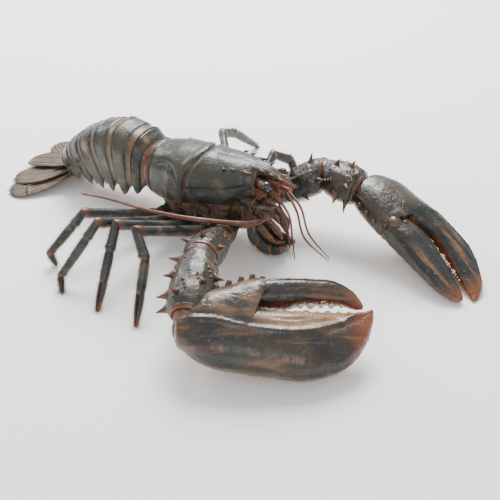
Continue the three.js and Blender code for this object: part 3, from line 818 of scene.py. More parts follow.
@dataclass(frozen=True)
class Soft(Finish):
    """Matt flesh of joints, underside and bristles."""

    colour: Colour
    other: Colour
    rough: float = 0.55
    scale: float = 150.0
    depth: float = 0.0006
    glow: float = 0.0

    def build(self) -> bpy.types.Material:
        """Makes the soft surface.

        Returns:
            The finished material.
        """
        sheet = Sheet(self.name)
        clouds = sheet.spread(sheet.noise(self.scale, 4, 0.5), 0.35, 0.65)
        colour = sheet.blend(clouds, self.colour, self.other)
        fine = sheet.spread(sheet.noise(self.scale * 5, 2), 0.4, 0.7, 0, 0.35)
        colour = sheet.blend(fine, colour, self.other)
        wear = sheet.spread(sheet.noise(self.scale, 2), 0.3, 0.7, self.rough - 0.1, self.rough + 0.15)
        normal = sheet.bump(sheet.noise(self.scale * 2.5, 4), self.depth, 0.6)
        return sheet.dressed(base_color=colour, roughness=wear, normal=normal,
                             subsurface_weight=self.glow, subsurface_scale=0.004)


@dataclass(frozen=True)
class Cornea(Finish):
    """Black glossy eye with its fine facets."""

    black: Colour = (0.004, 0.004, 0.005)
    brown: Colour = (0.02, 0.014, 0.01)
    facet: float = 1900.0
    facet_depth: float = 0.00003

    def build(self) -> bpy.types.Material:
        """Makes the eye's surface.

        Returns:
            The finished material.
        """
        sheet = Sheet(self.name)
        colour = sheet.blend(sheet.spread(sheet.noise(240, 2), 0.4, 0.7), self.black, self.brown)
        normal = sheet.bump(sheet.cells(self.facet), self.facet_depth, 0.25)
        return sheet.dressed(base_color=colour, normal=normal, roughness=0.1, coat_weight=0.8,
                             coat_roughness=0.05)


BACK = Shell("carapace_shell", mottle=20.0, streak=(0.045, 0.012, 0.012))
TAIL = Shell("tail_shell", dark=(0.006, 0.009, 0.009), mid=(0.042, 0.037, 0.020), mottle=34.0)
CRUSHER_SHELL = Shell("crusher_shell", dark=(0.005, 0.007, 0.008), mid=(0.036, 0.025, 0.013),
                      light=(0.2, 0.085, 0.03), mottle=17.0, streak=(0.07, 0.009, 0.02),
                      turn=(0.556, 0.063, 0.632), grain=300.0, rough=0.32)
PINCER_SHELL = Shell("pincer_shell", dark=(0.005, 0.007, 0.008), mid=(0.040, 0.030, 0.015),
                     light=(0.24, 0.12, 0.045), mottle=17.0, streak=(0.09, 0.009, 0.02),
                     turn=(-0.015, 0.356, -0.288), grain=300.0, rough=0.32)
ARM = Shell("arm_shell", dark=(0.006, 0.009, 0.009), mid=(0.042, 0.032, 0.017), grain=340.0)
LEG = Shell("walking_leg_shell", dark=(0.008, 0.011, 0.011), mid=(0.03, 0.034, 0.026),
            light=(0.16, 0.1, 0.055), mottle=60.0, grain=800.0, pit=0.00025)
FAN = Shell("fan_shell", dark=(0.007, 0.008, 0.006), mid=(0.032, 0.026, 0.014),
            light=(0.16, 0.09, 0.04), pale=(0.3, 0.2, 0.11), mottle=48.0, grain=700.0,
            pit=0.0003, rough=0.46, coat=0.08)
BELLY = Shell("belly_plates", dark=(0.02, 0.016, 0.011), mid=(0.075, 0.05, 0.028), mottle=60.0,
              rough=0.5, coat=0.1)
PALP = Soft("mouth_palps", (0.045, 0.022, 0.013), (0.17, 0.085, 0.042), rough=0.42, glow=0.02)
JOINT = Soft("joint_skin", (0.1, 0.032, 0.016), (0.19, 0.085, 0.045), rough=0.5, glow=0.04)
FEELER = Shell("feeler_shell", dark=(0.05, 0.014, 0.008), mid=(0.16, 0.035, 0.015),
               light=(0.3, 0.1, 0.04), mottle=90.0, grain=1500.0, pit=0.0001, rough=0.42)
TOOTH = Soft("claw_teeth", (0.62, 0.5, 0.36), (0.78, 0.7, 0.56), rough=0.32, scale=220.0,
             depth=0.0003, glow=0.06)
BRISTLE = Soft("bristles", (0.085, 0.055, 0.03), (0.19, 0.125, 0.07), rough=0.7)
STALK = Shell("eye_stalk_shell", mid=(0.05, 0.03, 0.018), mottle=120.0, grain=900.0,
              pit=0.0002, rough=0.4)
EYE = Cornea("cornea")


def underside(points: Array) -> Array:
    """How pale each point of a skin is, from how far it faces the floor."""
    return ramp(-normals(points)[..., 2], *FACING_DOWN)


def along_skin(points: Array) -> Array:
    """How far along its grid each point lies, from nought to one."""
    return np.linspace(0, 1, len(points))[:, None] + 0 * points[..., 0]


def whole(points: Array, relief: Array, first: Rows, last: Rows, pale: Array | float = 0.0,
          rust: Array | float = 0.0) -> tuple[Array, Array, Array]:
    """Raises a relief on a grid, closes its ends and stretches its tones to match.

    Args:
        points: grid of rings.
        relief: how far each point is raised.
        first: how the grid's start closes.
        last: how its end closes.
        pale: share of the pale colour at each point.
        rust: share of the orange colour at each point.

    Returns:
        The closed grid and its two tones.
    """
    closed = capped(pushed(points, relief), first, last)
    ends = ((len(first), len(last)), (0, 0))
    tones = [np.pad(np.broadcast_to(tone, points.shape[:2]), ends, mode="edge")
             for tone in (pale, rust)]
    return closed, tones[0], tones[1]


def raised(values: Array, *swells: Point) -> Array:
    """Ridges and grooves over some values.

    Args:
        values: the values that they lie across.
        swells: height, centre and width of each, a groove's height being negative.

    Returns:
        Their heights, added up.
    """
    return sum(height * bell(values, centre, width) for height, centre, width in swells)


def stations(rows: Rows, count: int) -> tuple[Array, Array]:
    """Smooth sizes along a body.

    Args:
        rows: a station followed by its sizes, in rising order.
        count: number of stations wanted.

    Returns:
        The stations and, for each size, its values there.
    """
    knots = [row[0] for row in rows]
    places = np.linspace(knots[0], knots[-1], count)
    return places, monotone(knots, [row[1:] for row in rows], places).T


@dataclass
class Carapace:
    """The shield over head and thorax with its beak, grooves, rims and spines.

    A row is a station, half width, top, waist and lower edge. A row of the beak is a station,
    half width, top and bottom. A spine is a place, its direction and its length.
    """

    rows: Rows = (
        (-186, 30, 100, 68, 40), (-184, 30.5, 100.5, 68, 39), (-178, 33.5, 104, 68, 34),
        (-162, 37, 109, 68, 31), (-140, 40, 113, 70, 33), (-122, 41, 114.6, 73, 37),
        (-110, 40.8, 115.2, 76, 41), (-100, 40.2, 115.6, 78, 44), (-84, 38.5, 116.3, 81, 49),
        (-66, 35.5, 117.5, 84, 54), (-50, 31, 118, 87, 60), (-38, 26.5, 117, 89, 66),
        (-30, 22, 113, 90, 71),
    )
    power: float = 2.3
    rings: int = 230
    around: int = 190
    groove_x: float = -105.0
    groove_sweep: float = 12.0
    neck: Rows = ((-3.0, 0.0, 2.6), (1.1, 7.0, 5.0), (0.9, -7.5, 5.0))
    flank_groove: Rows = (
        (-186, 90), (-171, 91.7), (-150, 97.6), (-130, 96.1), (-116, 84.8), (-110, 66),
    )
    brow_start: float = 73.4
    brow_slope: float = 0.34
    cheeks: Rows = ((1.3, 8, 5.5, -74, 22), (1.2, -9, 5.0, -88, 11), (1.2, -11, 5.0, -52, 9))
    rim_x: float = -176.5
    rostrum: Rows = (
        (-62, 9, 114, 100), (-50, 11, 117.4, 102), (-38, 12.5, 118.8, 104), (-24, 10, 118.2, 104),
        (-8, 6.5, 112.8, 101), (4, 4, 107.6, 99.5), (12, 1.8, 104.5, 100.5), (16, 0.5, 103.4, 102.4),
    )
    spines: Rows = (
        (-26, 8.5, 114, 1, 0.5, 0.35, 10), (-14, 6.5, 111, 1, 0.45, 0.35, 9),
        (-3, 4.6, 107, 1, 0.4, 0.35, 8), (-42, 18.5, 111.5, 1, 0.2, 0.25, 12),
        (-36, 23.5, 92, 1, 0.3, 0.1, 11), (-35, 20.5, 82, 1, 0.3, 0.0, 8),
        (-56, 22, 112.6, 1, 0.15, 0.45, 6), (-68, 25, 111.4, 1, 0.1, 0.5, 5),
    )
    big_spine: float = 7.0
    rim: Rows = (
        (-36, 8, 113.6), (-31.5, 12, 111.2), (-30.2, 16.6, 107), (-30, 20, 102),
        (-30.2, 21.9, 95), (-30.6, 22, 88), (-32, 20.6, 81), (-34, 18, 76),
    )
    rim_rows: Rows = (
        (0, 0.8, 0.8), (0.15, 1.7, 1.5), (0.5, 2.0, 1.7), (0.85, 1.7, 1.5), (1, 0.8, 0.8),
    )

    def shield(self) -> tuple[Array, Array, Array, Array, Array]:
        """The plain shield.

        Returns:
            Its grid and, at each point, the station, z, y and height share.
        """
        xs, (wide, top, waist, low) = stations(self.rows, self.rings)
        across, tall = oval(turns(self.around), self.power)
        y = wide[:, None] * across
        height = np.where(tall > 0, (top - waist)[:, None], (waist - low)[:, None]) * tall
        z = waist[:, None] + height
        window = ramp(xs, -152, -128) * ramp(xs, -66, -86)
        x = xs[:, None] - self.groove_sweep * (y / 40) ** 2 * window[:, None]
        points = np.stack([x, y, z], axis=-1)
        return points, np.broadcast_to(xs[:, None], y.shape), z, y, tall + 0 * y

    def relief(self, points: Array, station: Array, z: Array, y: Array, tall: Array) -> Array:
        """Height of grooves, rims and lumps over the plain shield.

        Args:
            points: the shield's grid.
            station: place along the body of each point.
            z: its height.
            y: its place across.
            tall: its height share, from the waist.

        Returns:
            How far each point is raised.
        """
        neck = raised(station - self.groove_x, *self.neck) * ramp(z, 44, 62)
        bend = monotone(*zip(*self.flank_groove), station[:, 0]).reshape(-1, 1)
        behind = ramp(station, -182, -160)
        hollow = -1.5 * bell(z, bend, 2.6) * behind * ramp(station, -108, -114)
        hollow += 0.7 * bell(z, bend + 7, 4.5) * behind * ramp(station, -110, -118)
        seam = -0.9 * bell(y, 0.0, 1.0) * ramp(z, 90, 100)
        line = self.brow_start + (station + 108) * self.brow_slope
        brow = -1.7 * bell(z, line, 1.8) * ramp(station, -107, -102) * ramp(station, -34, -44)
        cheek = sum(height * bell(z, line + over, tall_by) * bell(station, at, long_by)
                    for height, over, tall_by, at, long_by in self.cheeks)
        rear = -1.7 * bell(station, self.rim_x, 1.5)
        rear += 0.9 * ramp(station, self.rim_x - 0.5, self.rim_x - 3.5)
        hem = -1.0 * bell(tall, -0.86, 0.05) * ramp(station, -178, -172)
        hem += 0.8 * ramp(tall, -0.88, -0.96) * ramp(tall, -1.0, -0.97)
        stomach = 0.8 * bell(np.abs(y), 14, 9) * bell(station, -74, 16) * ramp(z, 96, 108)
        rough = 0.55 * lumps(points, 17) + 0.22 * lumps(points, 6.5, 9.0)
        grains = np.maximum(0, lumps(points, 2.6, 31.0) - 0.15) * 0.7 * ramp(station, -112, -60)
        grains *= ramp(z, 60, 84)
        return neck + hollow + seam + brow + cheek + rear + hem + stomach + rough + grains

    def beak(self) -> Array:
        """The beak's grid, hollowed along its top between two ridges.

        Returns:
            The grid, open at both ends.
        """
        xs, (wide, top, low) = stations(self.rostrum, 90)
        middle, half = (top + low) / 2, (top - low) / 2
        across, tall = oval(turns(64), 2.2)
        y = wide[:, None] * across
        z = middle[:, None] + half[:, None] * tall
        hollow = bell(across, 0.0, 0.42) * np.maximum(tall, 0) * np.minimum(half, 2.6)[:, None]
        z = z - 0.9 * hollow * ramp(xs, -56, -40)[:, None]
        x = np.broadcast_to(xs[:, None], y.shape)
        points = np.stack([x, y, z], axis=-1)
        return pushed(points, 0.25 * lumps(points, 4.0))

    def build(self) -> None:
        """Makes the shield."""
        work = Work("carapace")
        points, station, z, y, tall = self.shield()
        relief = self.relief(points, station, z, y, tall)
        pale = ramp(z, 52, 38) * 0.8
        rust = 0.6 * ramp(station, self.rim_x - 1, self.rim_x - 5)
        rust = rust + 0.2 * bell(station, self.groove_x, 2.2) + 0.4 * ramp(tall, -0.88, -0.96)
        rust = rust + 0.5 * ramp(station, -32, -30)
        work.skin(*whole(points, relief, CUP_END, SOCKET_END, pale, np.clip(rust, 0, 1)))
        beak = capped(self.beak(), TIP_END, TIP_END)
        work.skin(beak, 0.0, 0.45 * ramp(beak[..., 0], -34, 14))
        for side in Side:
            rim = Limb(mirrored(self.rim, side), self.rim_rows).grid(46, 18)
            work.worn(rim, 0.25, 3.5, rust=0.22)
        for side in Side:
            for x, out, up, ahead, aside, rise, length in self.spines:
                work.thorn((x, out * side.value, up), (ahead, aside * side.value, rise), length,
                           2.5 if length > self.big_spine else 1.7, bend=(0, 0, 0.8))
        work.finish(BACK, "body_shell", "carapace")


@dataclass
class Underside:
    """The sternum between the legs with the bases they turn on."""

    rows: Rows = (
        (-168, 18, 60, 24), (-158, 21, 62, 21), (-120, 24, 64, 21), (-80, 25, 66, 24),
        (-50, 23, 68, 26), (-34, 18, 70, 30),
    )
    power: float = 4.0
    seams: Point = (-140, -114, -86, -60)
    gill_pitch: float = 9.0

    def build(self) -> None:
        """Makes the sternum and the base of each leg."""
        work = Work("thorax_underside")
        xs, (wide, top, low) = stations(self.rows, 150)
        across, tall = oval(turns(84), self.power)
        y = wide[:, None] * across
        z = ((top + low) / 2)[:, None] + ((top - low) / 2)[:, None] * tall
        points = np.stack([np.broadcast_to(xs[:, None], y.shape), y, z], axis=-1)
        relief = 0.5 * lumps(points, 7.0)
        for x in self.seams:
            relief = relief - 1.8 * bell(xs, x, 1.4)[:, None]
        relief = relief - 1.6 * bell(y, 0, 1.2) * ramp(tall, 0, -0.8)
        for x in np.arange(-160, -40, self.gill_pitch):
            relief = relief - 0.9 * bell(xs, x, 1.0)[:, None] * ramp(tall, -0.6, 0.0)
        pale = 0.9 * ramp(tall, -0.5, -0.9)
        work.skin(*whole(points, relief, ROUND_END, ROUND_END, pale, 0.15))
        for side in Side:
            for x, out, up in LEG_ROOTS:
                work.ball((x, (out + 3) * side.value, up + 1), (12.0, 9.5, 10.5), rust=0.15,
                          segments=24)
                work.ball((x + 3, (out + 4) * side.value, up + 12), (8.5, 6.5, 8.0), rust=0.1,
                          segments=20)
                work.ball((x + 9, (out - 6) * side.value, up - 6), (5.0, 6.0, 4.0), pale=0.7)
        work.finish(BELLY, "underside", "thorax_underside")


@dataclass
class Tail:
    """The six rings of the abdomen with side plates and paddles.

    A joint is a place along and up, a pitch in degrees, half width, rise and depth of the
    belly. The profile gives a ring's size and its plate's depth along it, flank and floor
    its outline below the waist, from the side plate's edge to the middle.
    """

    joints: Rows = (
        (-186, 73, 4, 31, 25, 22), (-204, 77, 2, 35.5, 37, 26), (-233, 80, -8, 37, 39, 27),
        (-260, 74, -18, 35, 36, 26), (-285, 63, -28, 32.5, 32, 24),
        (-306, 50, -36, 29.5, 28, 19), (-328, 33, -40, 24, 22, 12),
    )
    plate: Point = (40, 50, 50, 46, 37, 24)
    rings: int = 46
    around: int = 168
    power: float = 2.4
    profile: Rows = (
        (0.0, 0.945, 0.60), (0.14, 0.945, 0.68), (0.28, 0.95, 0.78), (0.36, 0.995, 0.87),
        (0.5, 1.005, 0.95), (0.66, 1.0, 1.0), (0.84, 1.0, 0.92), (0.93, 1.002, 0.80),
        (0.965, 1.012, 0.74), (1.0, 1.0, 0.68),
    )
    flank: Rows = ((1, 0.33), (0.99, 0.68), (0.95, 0.9), (0.91, 1), (0.86, 0.9), (0.82, 0.72))
    floor: Rows = ((0.76, 1.0), (0.38, 1.06))
    paddles: tuple[int, ...] = (1, 2, 3, 4)
    leaf: Rows = ((0, 1.8, 2.6), (0.3, 1.3, 4.5), (0.7, 1.0, 5.5), (1, 0.6, 2))
    leaf_hairs: int = 16
    facets: int = 12

    def frame(self, index: int, shares: Array) -> tuple[Array, ...]:
        """Axes and sizes of the tail along one ring.

        Args:
            index: which ring, from the front.
            shares: places as shares of its length.

        Returns:
            Centre, direction back, direction up, half width, rise and belly at each place.
        """
        start, end = np.array(self.joints[index:index + 2], float)
        x, z, pitch, wide, rise, belly = (start + (end - start) * shares[:, None]).T
        angle = np.radians(pitch)
        nought = np.zeros_like(x)
        centre = np.stack([x, nought, z], axis=-1)
        back = np.stack([-np.cos(angle), nought, np.sin(angle)], axis=-1)
        up = np.stack([np.sin(angle), nought, np.cos(angle)], axis=-1)
        return centre, back, up, wide, rise, belly

    def outline(self, half: float, rise: float, plate: float, belly: float) -> Array:
        """One ring's section.

        Args:
            half: half its width.
            rise: height of its back over the waist.
            plate: depth of its side plates.
            belly: depth of its belly.

        Returns:
            Closed outline as points across and up.
        """
        spots = []
        for i in range(self.facets + 1):
            turn = i / self.facets * math.pi
            c = math.cos(turn)
            across = math.copysign(abs(c) ** (2 / self.power), c) * half
            spots.append((across, math.sin(turn) ** (2 / self.power) * rise if 0 < i < self.facets
                          else 0.0))
        flank = [(out * half, -down * plate) for out, down in self.flank]
        flank += [(out * half, -down * belly) for out, down in self.floor]
        spots += [(-out, down) for out, down in flank] + [(0, -1.08 * belly)] + flank[::-1]
        closed = np.array(spots + [spots[0]])
        knots = np.linspace(0, 1, len(closed))
        return monotone(knots, closed, np.linspace(0, 1, self.around + 1))

    def ring(self, index: int) -> tuple[Array, Array, Array]:
        """One ring of the tail.

        Args:
            index: which ring, from the front.

        Returns:
            Its grid and, at each point, the share along it and the height over its waist.
        """
        shares, (scale, depth) = stations(self.profile, self.rings)
        centre, _, up, wide, rise, belly = self.frame(index, shares)
        rings = []
        for i, size in enumerate(scale):
            line = self.outline(wide[i] * size, rise[i] * size, self.plate[index] * depth[i],
                                belly[i] * size)
            rings.append(centre[i] + line[:, :1] * np.array([0, 1, 0]) + line[:, 1:] * up[i])
        points = np.array(rings)
        height = ((points - centre[:, None]) * up[:, None]).sum(axis=2)
        return points, along_skin(points), height

    def relief(self, index: int, points: Array, along: Array, height: Array) -> Array:
        """Lumps, grooves and side bosses of one ring.

        Args:
            index: which ring, from the front.
            points: its grid.
            along: share along it of each point.
            height: height of each point over its waist.

        Returns:
            How far each point is raised.
        """
        flank = np.abs(points[..., 1]) / self.joints[index][3]
        worn = 0.35 * lumps(points, 12.0, index) + 0.14 * lumps(points, 4.0, 5.0)
        worn *= ramp(along, 0.25, 0.4)
        groove = 0.9 * bell(along, 0.9, 0.025) * ramp(height, -6, 6)
        crease = bell(height, -3.0, 1.6) * ramp(along, 0.34, 0.5) * (flank > 0.8)
        boss = bell(height, -self.plate[index] * 0.5, 7) * bell(along, 0.64, 0.13)
        return worn - groove - crease + 1.1 * boss * (flank > 0.7)

    def paddle(self, work: Work, index: int, side: Side) -> None:
        """Hangs one pair of leaf-shaped paddles under one side of a ring.

        Args:
            work: the ring's piece.
            index: which ring, from the front.
            side: the side of the body.
        """
        centre, back, up, wide, _, belly = (part[0] for part in self.frame(index, np.array([0.5])))
        out = np.array([0, side.value * wide * 0.45, 0])
        root = centre + out - up * (belly - 2)
        for spread in (4.0, -3.0):
            tip = root - up * 20 + back * 6 + np.array([0, side.value * spread, 0])
            middle = (root + tip) / 2 + back * 1.5
            leaf = Limb([root, middle, tip], self.leaf, up=tuple(back))
            work.skin(capped(leaf.grid(18, 20), FLAT_END, ROUND_END), 0.7, 0.3)
            for turn in np.linspace(-0.4, math.pi + 0.4, self.leaf_hairs):
                edge = tip + up * 6 + back * 4.6 * math.cos(turn) - up * 6 * math.sin(turn)
                work.bristle(edge, -up * math.sin(turn) + back * math.cos(turn), 3.4, 0.18)

    def build(self) -> None:
        """Makes the six rings."""
        for index in range(len(self.plate)):
            work = Work(f"abdomen_{index + 1}")
            points, along, height = self.ring(index)
            _, _, _, half, _, belly = self.joints[index]
            plate = self.plate[index]
            under = (height < -belly * 0.8) & (np.abs(points[..., 1]) < half * 0.8)
            edge = ramp(along, 0.93, 0.99) + 0.7 * ramp(height, -plate * 0.78, -plate * 0.98)
            overlap = 0.5 * ramp(along, 0.3, 0.1)
            relief = self.relief(index, points, along, height)
            work.skin(*whole(points, relief, FLAT_END, CUP_END, under * 0.95 + overlap * 0.2,
                             np.clip(edge * 0.6 + overlap * 0.5, 0, 1)))
            if index in self.paddles:
                for side in Side:
                    self.paddle(work, index, side)
            work.finish(TAIL, "body_shell", f"abdomen_{index + 1}")


@dataclass
class Blade:
    """One flat blade of the tail fan.

    Its half widths stand at fixed shares of its length. A blade with a suture is jointed
    across near its end, with a row of small spines over the joint.
    """

    name: str
    path: Rows
    wide: Point
    thick: float
    suture: bool = False
    shares: Point = (0, 0.12, 0.35, 0.62, 0.8, 0.9, 0.96, 0.985, 1)
    power: float = 1.7
    rings: int = 90
    around: int = 96
    suture_at: float = 0.74
    hair: float = 0.2
    inset: float = 0.97

    def relief(self, points: Array, along: Array, across: Array, top: Array) -> Array:
        """Ribs, rays and rim on the blade's upper face.

        Args:
            points: the blade's grid.
            along: share along it of each point.
            across: share across it, from the middle.
            top: which points lie on the upper face.

        Returns:
            How far each point is raised.
        """
        middle = bell(across, 0, 0.09) * (1.4 - 0.8 * along) * ramp(along, 0.05, 0.2)
        middle = middle * ramp(along, 1.0, 0.9)
        beside = 0.55 * bell(np.abs(across), 0.42, 0.05) * ramp(along, 0.12, 0.3)
        beside = beside * ramp(along, 0.98, 0.8)
        rays = 0.3 * np.cos(across * 46) * ramp(along, 0.3, 0.6)
        rim = -0.5 * bell(np.abs(across), 0.86, 0.03)
        relief = (middle + beside + rays + rim) * top + 0.25 * lumps(points, 9.0, 3.0)
        if self.suture:
            behind = along - self.suture_at - 0.05 * across**2
            relief = relief + raised(behind, (-1.0, 0, 0.013), (0.5, -0.03, 0.02))
        return relief

    def sew(self, limb: Limb, fringe: Work) -> None:
        """Sews a fringe of bristles round the blade's free edge.

        Args:
            limb: the blade's shape.
            fringe: the piece that the bristles go to.
        """
        for step in np.linspace(0.5, 0.8, 40):
            for hand in (-1, 1):
                spot, way, flat, _ = (part[0] for part in limb.frames([step]))
                half = limb.sizes([step])[0][0]
                out = unit(flat * hand * (1.2 - step) * 2 + way * 1.2)
                fringe.bristle(spot + flat * hand * half * self.inset, out, 5.4 * step, self.hair)
        for step in np.linspace(-1, 1, 60):
            share = 1 - 0.2 * abs(step) ** 2.2
            spot, way, flat, _ = (part[0] for part in limb.frames([share]))
            half = limb.sizes([share])[0][0] * np.sign(step)
            fringe.bristle(spot + flat * half * self.inset, way + flat * step * 0.8, 5.0, self.hair)

    def build(self, fringe: Work) -> None:
        """Makes the blade.

        Args:
            fringe: the piece that its bristles go to.
        """
        work = Work(self.name)
        rows = [(share, wide, self.thick * (1 - 0.5 * share)) for share, wide in
                zip(self.shares, self.wide)]
        limb = Limb(self.path, rows, power=self.power)
        points = limb.grid(self.rings, self.around)
        along = along_skin(points)
        across, tall = (np.broadcast_to(part, along.shape) for part in
                        oval(turns(self.around), self.power))
        top = ramp(tall, 0.0, 0.4)
        rust = 0.35 * ramp(along, 0.95, 0.99) + 0.2 * ramp(np.abs(across), 0.92, 0.99)
        rays = np.clip(0.2 + np.cos(across * 23), 0, 1) * ramp(along, 0.1, 0.35) * top
        rays = rays * ramp(np.abs(across), 0.94, 0.82) * ramp(along, 0.99, 0.9)
        pale = ramp(tall, 0.0, -0.3) * 0.6 + 0.6 * rays
        relief = self.relief(points, along, across, top)
        work.skin(*whole(points, relief, ROUND_END, FLAT_END, pale, np.clip(rust, 0, 0.9)))
        if self.suture:
            forward = limb.frames([0.985])[1][0]
            spot, _, flat, lift = (part[0] for part in limb.frames([self.suture_at + 0.02]))
            half, rise, _ = limb.sizes([self.suture_at + 0.02])[0]
            for step in np.linspace(-0.8, 0.8, 13):
                root = spot + flat * half * step + lift * rise * 0.75
                work.thorn(root, forward + lift * 0.2, 2.4, 0.8)
        self.sew(limb, fringe)
        work.finish(FAN, "tail_fan", self.name)


@dataclass
class Fan:
    """The telson and the side blades, whose paths are given for the left of the body."""

    telson: Rows = ((-322, 0, 34), (-360, 0, 23), (-413, 2, 7.0))
    telson_wide: Point = (12, 20, 24, 24, 22, 18.5, 13.5, 9.5, 4)
    inner_wide: Point = (6, 11, 20, 23.5, 21.5, 17.5, 12.5, 9, 3.5)
    outer_wide: Point = (6, 11, 18, 21.5, 21, 18, 13.5, 9.5, 4)
    inner: dict[Side, Rows] = field(default_factory=lambda: {
        Side.RIGHT: ((-326, 12, 26), (-360, 27, 15), (-403, 46, 4.0)),
        Side.LEFT: ((-326, 12, 26), (-360, 28, 19), (-405, 49, 11.0)),
    })
    outer: dict[Side, Rows] = field(default_factory=lambda: {
        Side.RIGHT: ((-324, 16.5, 21), (-350, 38, 10), (-385, 77, 1.2)),
        Side.LEFT: ((-324, 16.5, 21), (-350, 38, 13), (-386, 79, 9.0)),
    })

    def build(self) -> None:
        """Makes the five blades and their fringe."""
        fringe = Work("fan_bristles")
        Blade("telson", self.telson, self.telson_wide, 4.0).build(fringe)
        for side in Side:
            Blade(f"uropod_{side.word}_inner", mirrored(self.inner[side], side),
                  self.inner_wide, 3.2).build(fringe)
            Blade(f"uropod_{side.word}_outer", mirrored(self.outer[side], side),
                  self.outer_wide, 3.2, suture=True).build(fringe)
        fringe.finish(BRISTLE, "tail_fan")


@dataclass
class WalkingLeg:
    """One walking leg: upper part, short or long shin, and a pincer or a claw tip.

    Its spots are its bend, knee, wrist and tip. The legs are numbered from the front, and the
    first two end in pincers.
    """

    side: Side
    number: int
    spots: Rows
    pincers: int = 2
    around: int = 28
    upper: Rows = (
        (0, 7.5, 7.5), (0.06, 8.3, 8.3), (0.1, 7.2, 7.2), (0.14, 7.6, 7.6), (0.2, 6.0, 6.2),
        (0.225, 5.6, 5.8), (0.25, 6.6, 7.2), (0.4, 6.2, 7.0), (0.6, 5.5, 6.8), (0.9, 5.5, 6.3),
        (0.96, 6.3, 7.1), (1, 5.6, 6.2),
    )
    short: Rows = ((0, 5.2, 5.8), (0.2, 5.3, 5.8), (0.6, 5.6, 6.2), (0.88, 6.1, 6.7), (1, 5.0, 5.5))
    shank: Rows = (
        (0, 5.2, 5.8), (0.12, 5.4, 5.9), (0.25, 6.0, 6.4), (0.3, 4.8, 5.1), (0.34, 5.3, 5.7),
        (0.55, 5.4, 5.8), (0.9, 4.5, 4.9), (0.96, 4.9, 5.3), (1, 3.9, 4.2),
    )
    palm: Rows = ((0, 4.8, 5.2), (0.2, 5.4, 5.9), (0.7, 5.6, 5.8), (1, 4.9, 4.9))
    claw_tip: Rows = (
        (0, 3.4, 3.8), (0.15, 3.5, 3.9), (0.6, 2.7, 3.0), (0.9, 1.5, 1.6), (1, 0.8, 0.8),
    )
    finger: Rows = (
        (0, 2.3, 4.4), (0.4, 2.1, 3.6), (0.8, 1.6, 2.5), (0.94, 1.2, 1.7), (1, 0.7, 0.9),
    )
    knee_skin: float = 5.0
    wrist_skin: float = 4.2
    hair: float = 0.24
    hair_angles: Point = (20, 90, 160, 215, 325)

    @property
    def name(self) -> str:
        """The leg's name as the frame's nodes have it."""
        return f"leg_{self.side.word}_{self.number}"

    def part(self, name: str, limb: Limb, count: int, ends: tuple[Rows, Rows]) -> Work:
        """One part with worn lumps and orange ends.

        Args:
            name: the piece's name.
            limb: its shape.
            count: number of rings.
            ends: how its ends close.

        Returns:
            The piece in the making.
        """
        work = Work(name)
        points = limb.grid(count, self.around)
        share = along_skin(points)
        relief = 0.28 * lumps(points, 5.5, self.number)
        rust = 0.55 * ramp(share, 0.92, 0.99) + 0.3 * ramp(share, 0.06, 0.0)
        work.skin(*whole(points, relief, *ends, 0.45 * underside(points), rust))
        return work

    def tufts(self, work: Work, limb: Limb, low: float, high: float, count: int) -> None:
        """Grows short bristles in rows along a limb.

        Args:
            work: the piece that they go to.
            limb: the limb that they stand on.
            low: share of its length where they start.
            high: share where they end.
            count: bristles in each row.
        """
        for i, share in enumerate(np.linspace(low, high, count)):
            for degrees in self.hair_angles:
                root, way = limb.spot(share, degrees + 27 * math.sin(i * 2.4 + degrees), 0.75)
                work.bristle(root, way, 3.1 + 1.5 * abs(math.sin(i * 1.7 + degrees)), self.hair)

    def build(self, skin: Work, hairs: Work) -> None:
        """Makes the leg's three parts, its joint skin and bristles.

        Args:
            skin: the piece that the joints' skin goes to.
            hairs: the piece that the bristles go to.
        """
        line = mirrored((LEG_ROOTS[self.number - 1], *self.spots), self.side)
        root, bend, knee, wrist, tip = (np.array(spot, float) for spot in line)
        chelate = self.number <= self.pincers
        thigh, shin, end = unit(knee - bend), unit(wrist - knee), unit(tip - wrist)
        out = (0, self.side.value, 0.4)
        upper = Limb([root, bend, knee], self.upper, after=shin)
        mid = Limb([knee, wrist], self.short if chelate else self.shank, up=out, before=thigh,
                   after=end)
        self.part(f"{self.name}_upper", upper, 80, (ROUND_END, CUP_END)).finish(
            LEG, "leg_shell", f"{self.name}_upper")
        work = self.part(f"{self.name}_shin", mid, 40 if chelate else 56, (FLAT_END, CUP_END))
        for degrees in (60, 120):
            spot, way = mid.spot(0.86, degrees, 1.0)
            work.thorn(spot, way, 2.6, 1.0)
        work.finish(LEG, "leg_shell", f"{self.name}_shin")
        skin.ball(knee, (self.knee_skin,) * 3)
        skin.ball(wrist, (self.wrist_skin,) * 3)
        if chelate:
            self.pincer(wrist, tip, shin, out, hairs)
        else:
            foot = Limb([wrist, (wrist + tip) / 2 + np.array([0, 0, 0.4]), tip], self.claw_tip,
                        up=out, before=shin)
            work = self.part(f"{self.name}_foot", foot, 40, (FLAT_END, TIP_END))
            work.finish(LEG, "leg_shell", f"{self.name}_foot")
            self.tufts(hairs, foot, 0.05, 0.88, 34)
        self.tufts(hairs, mid, 0.2, 0.96, 18 if chelate else 40)

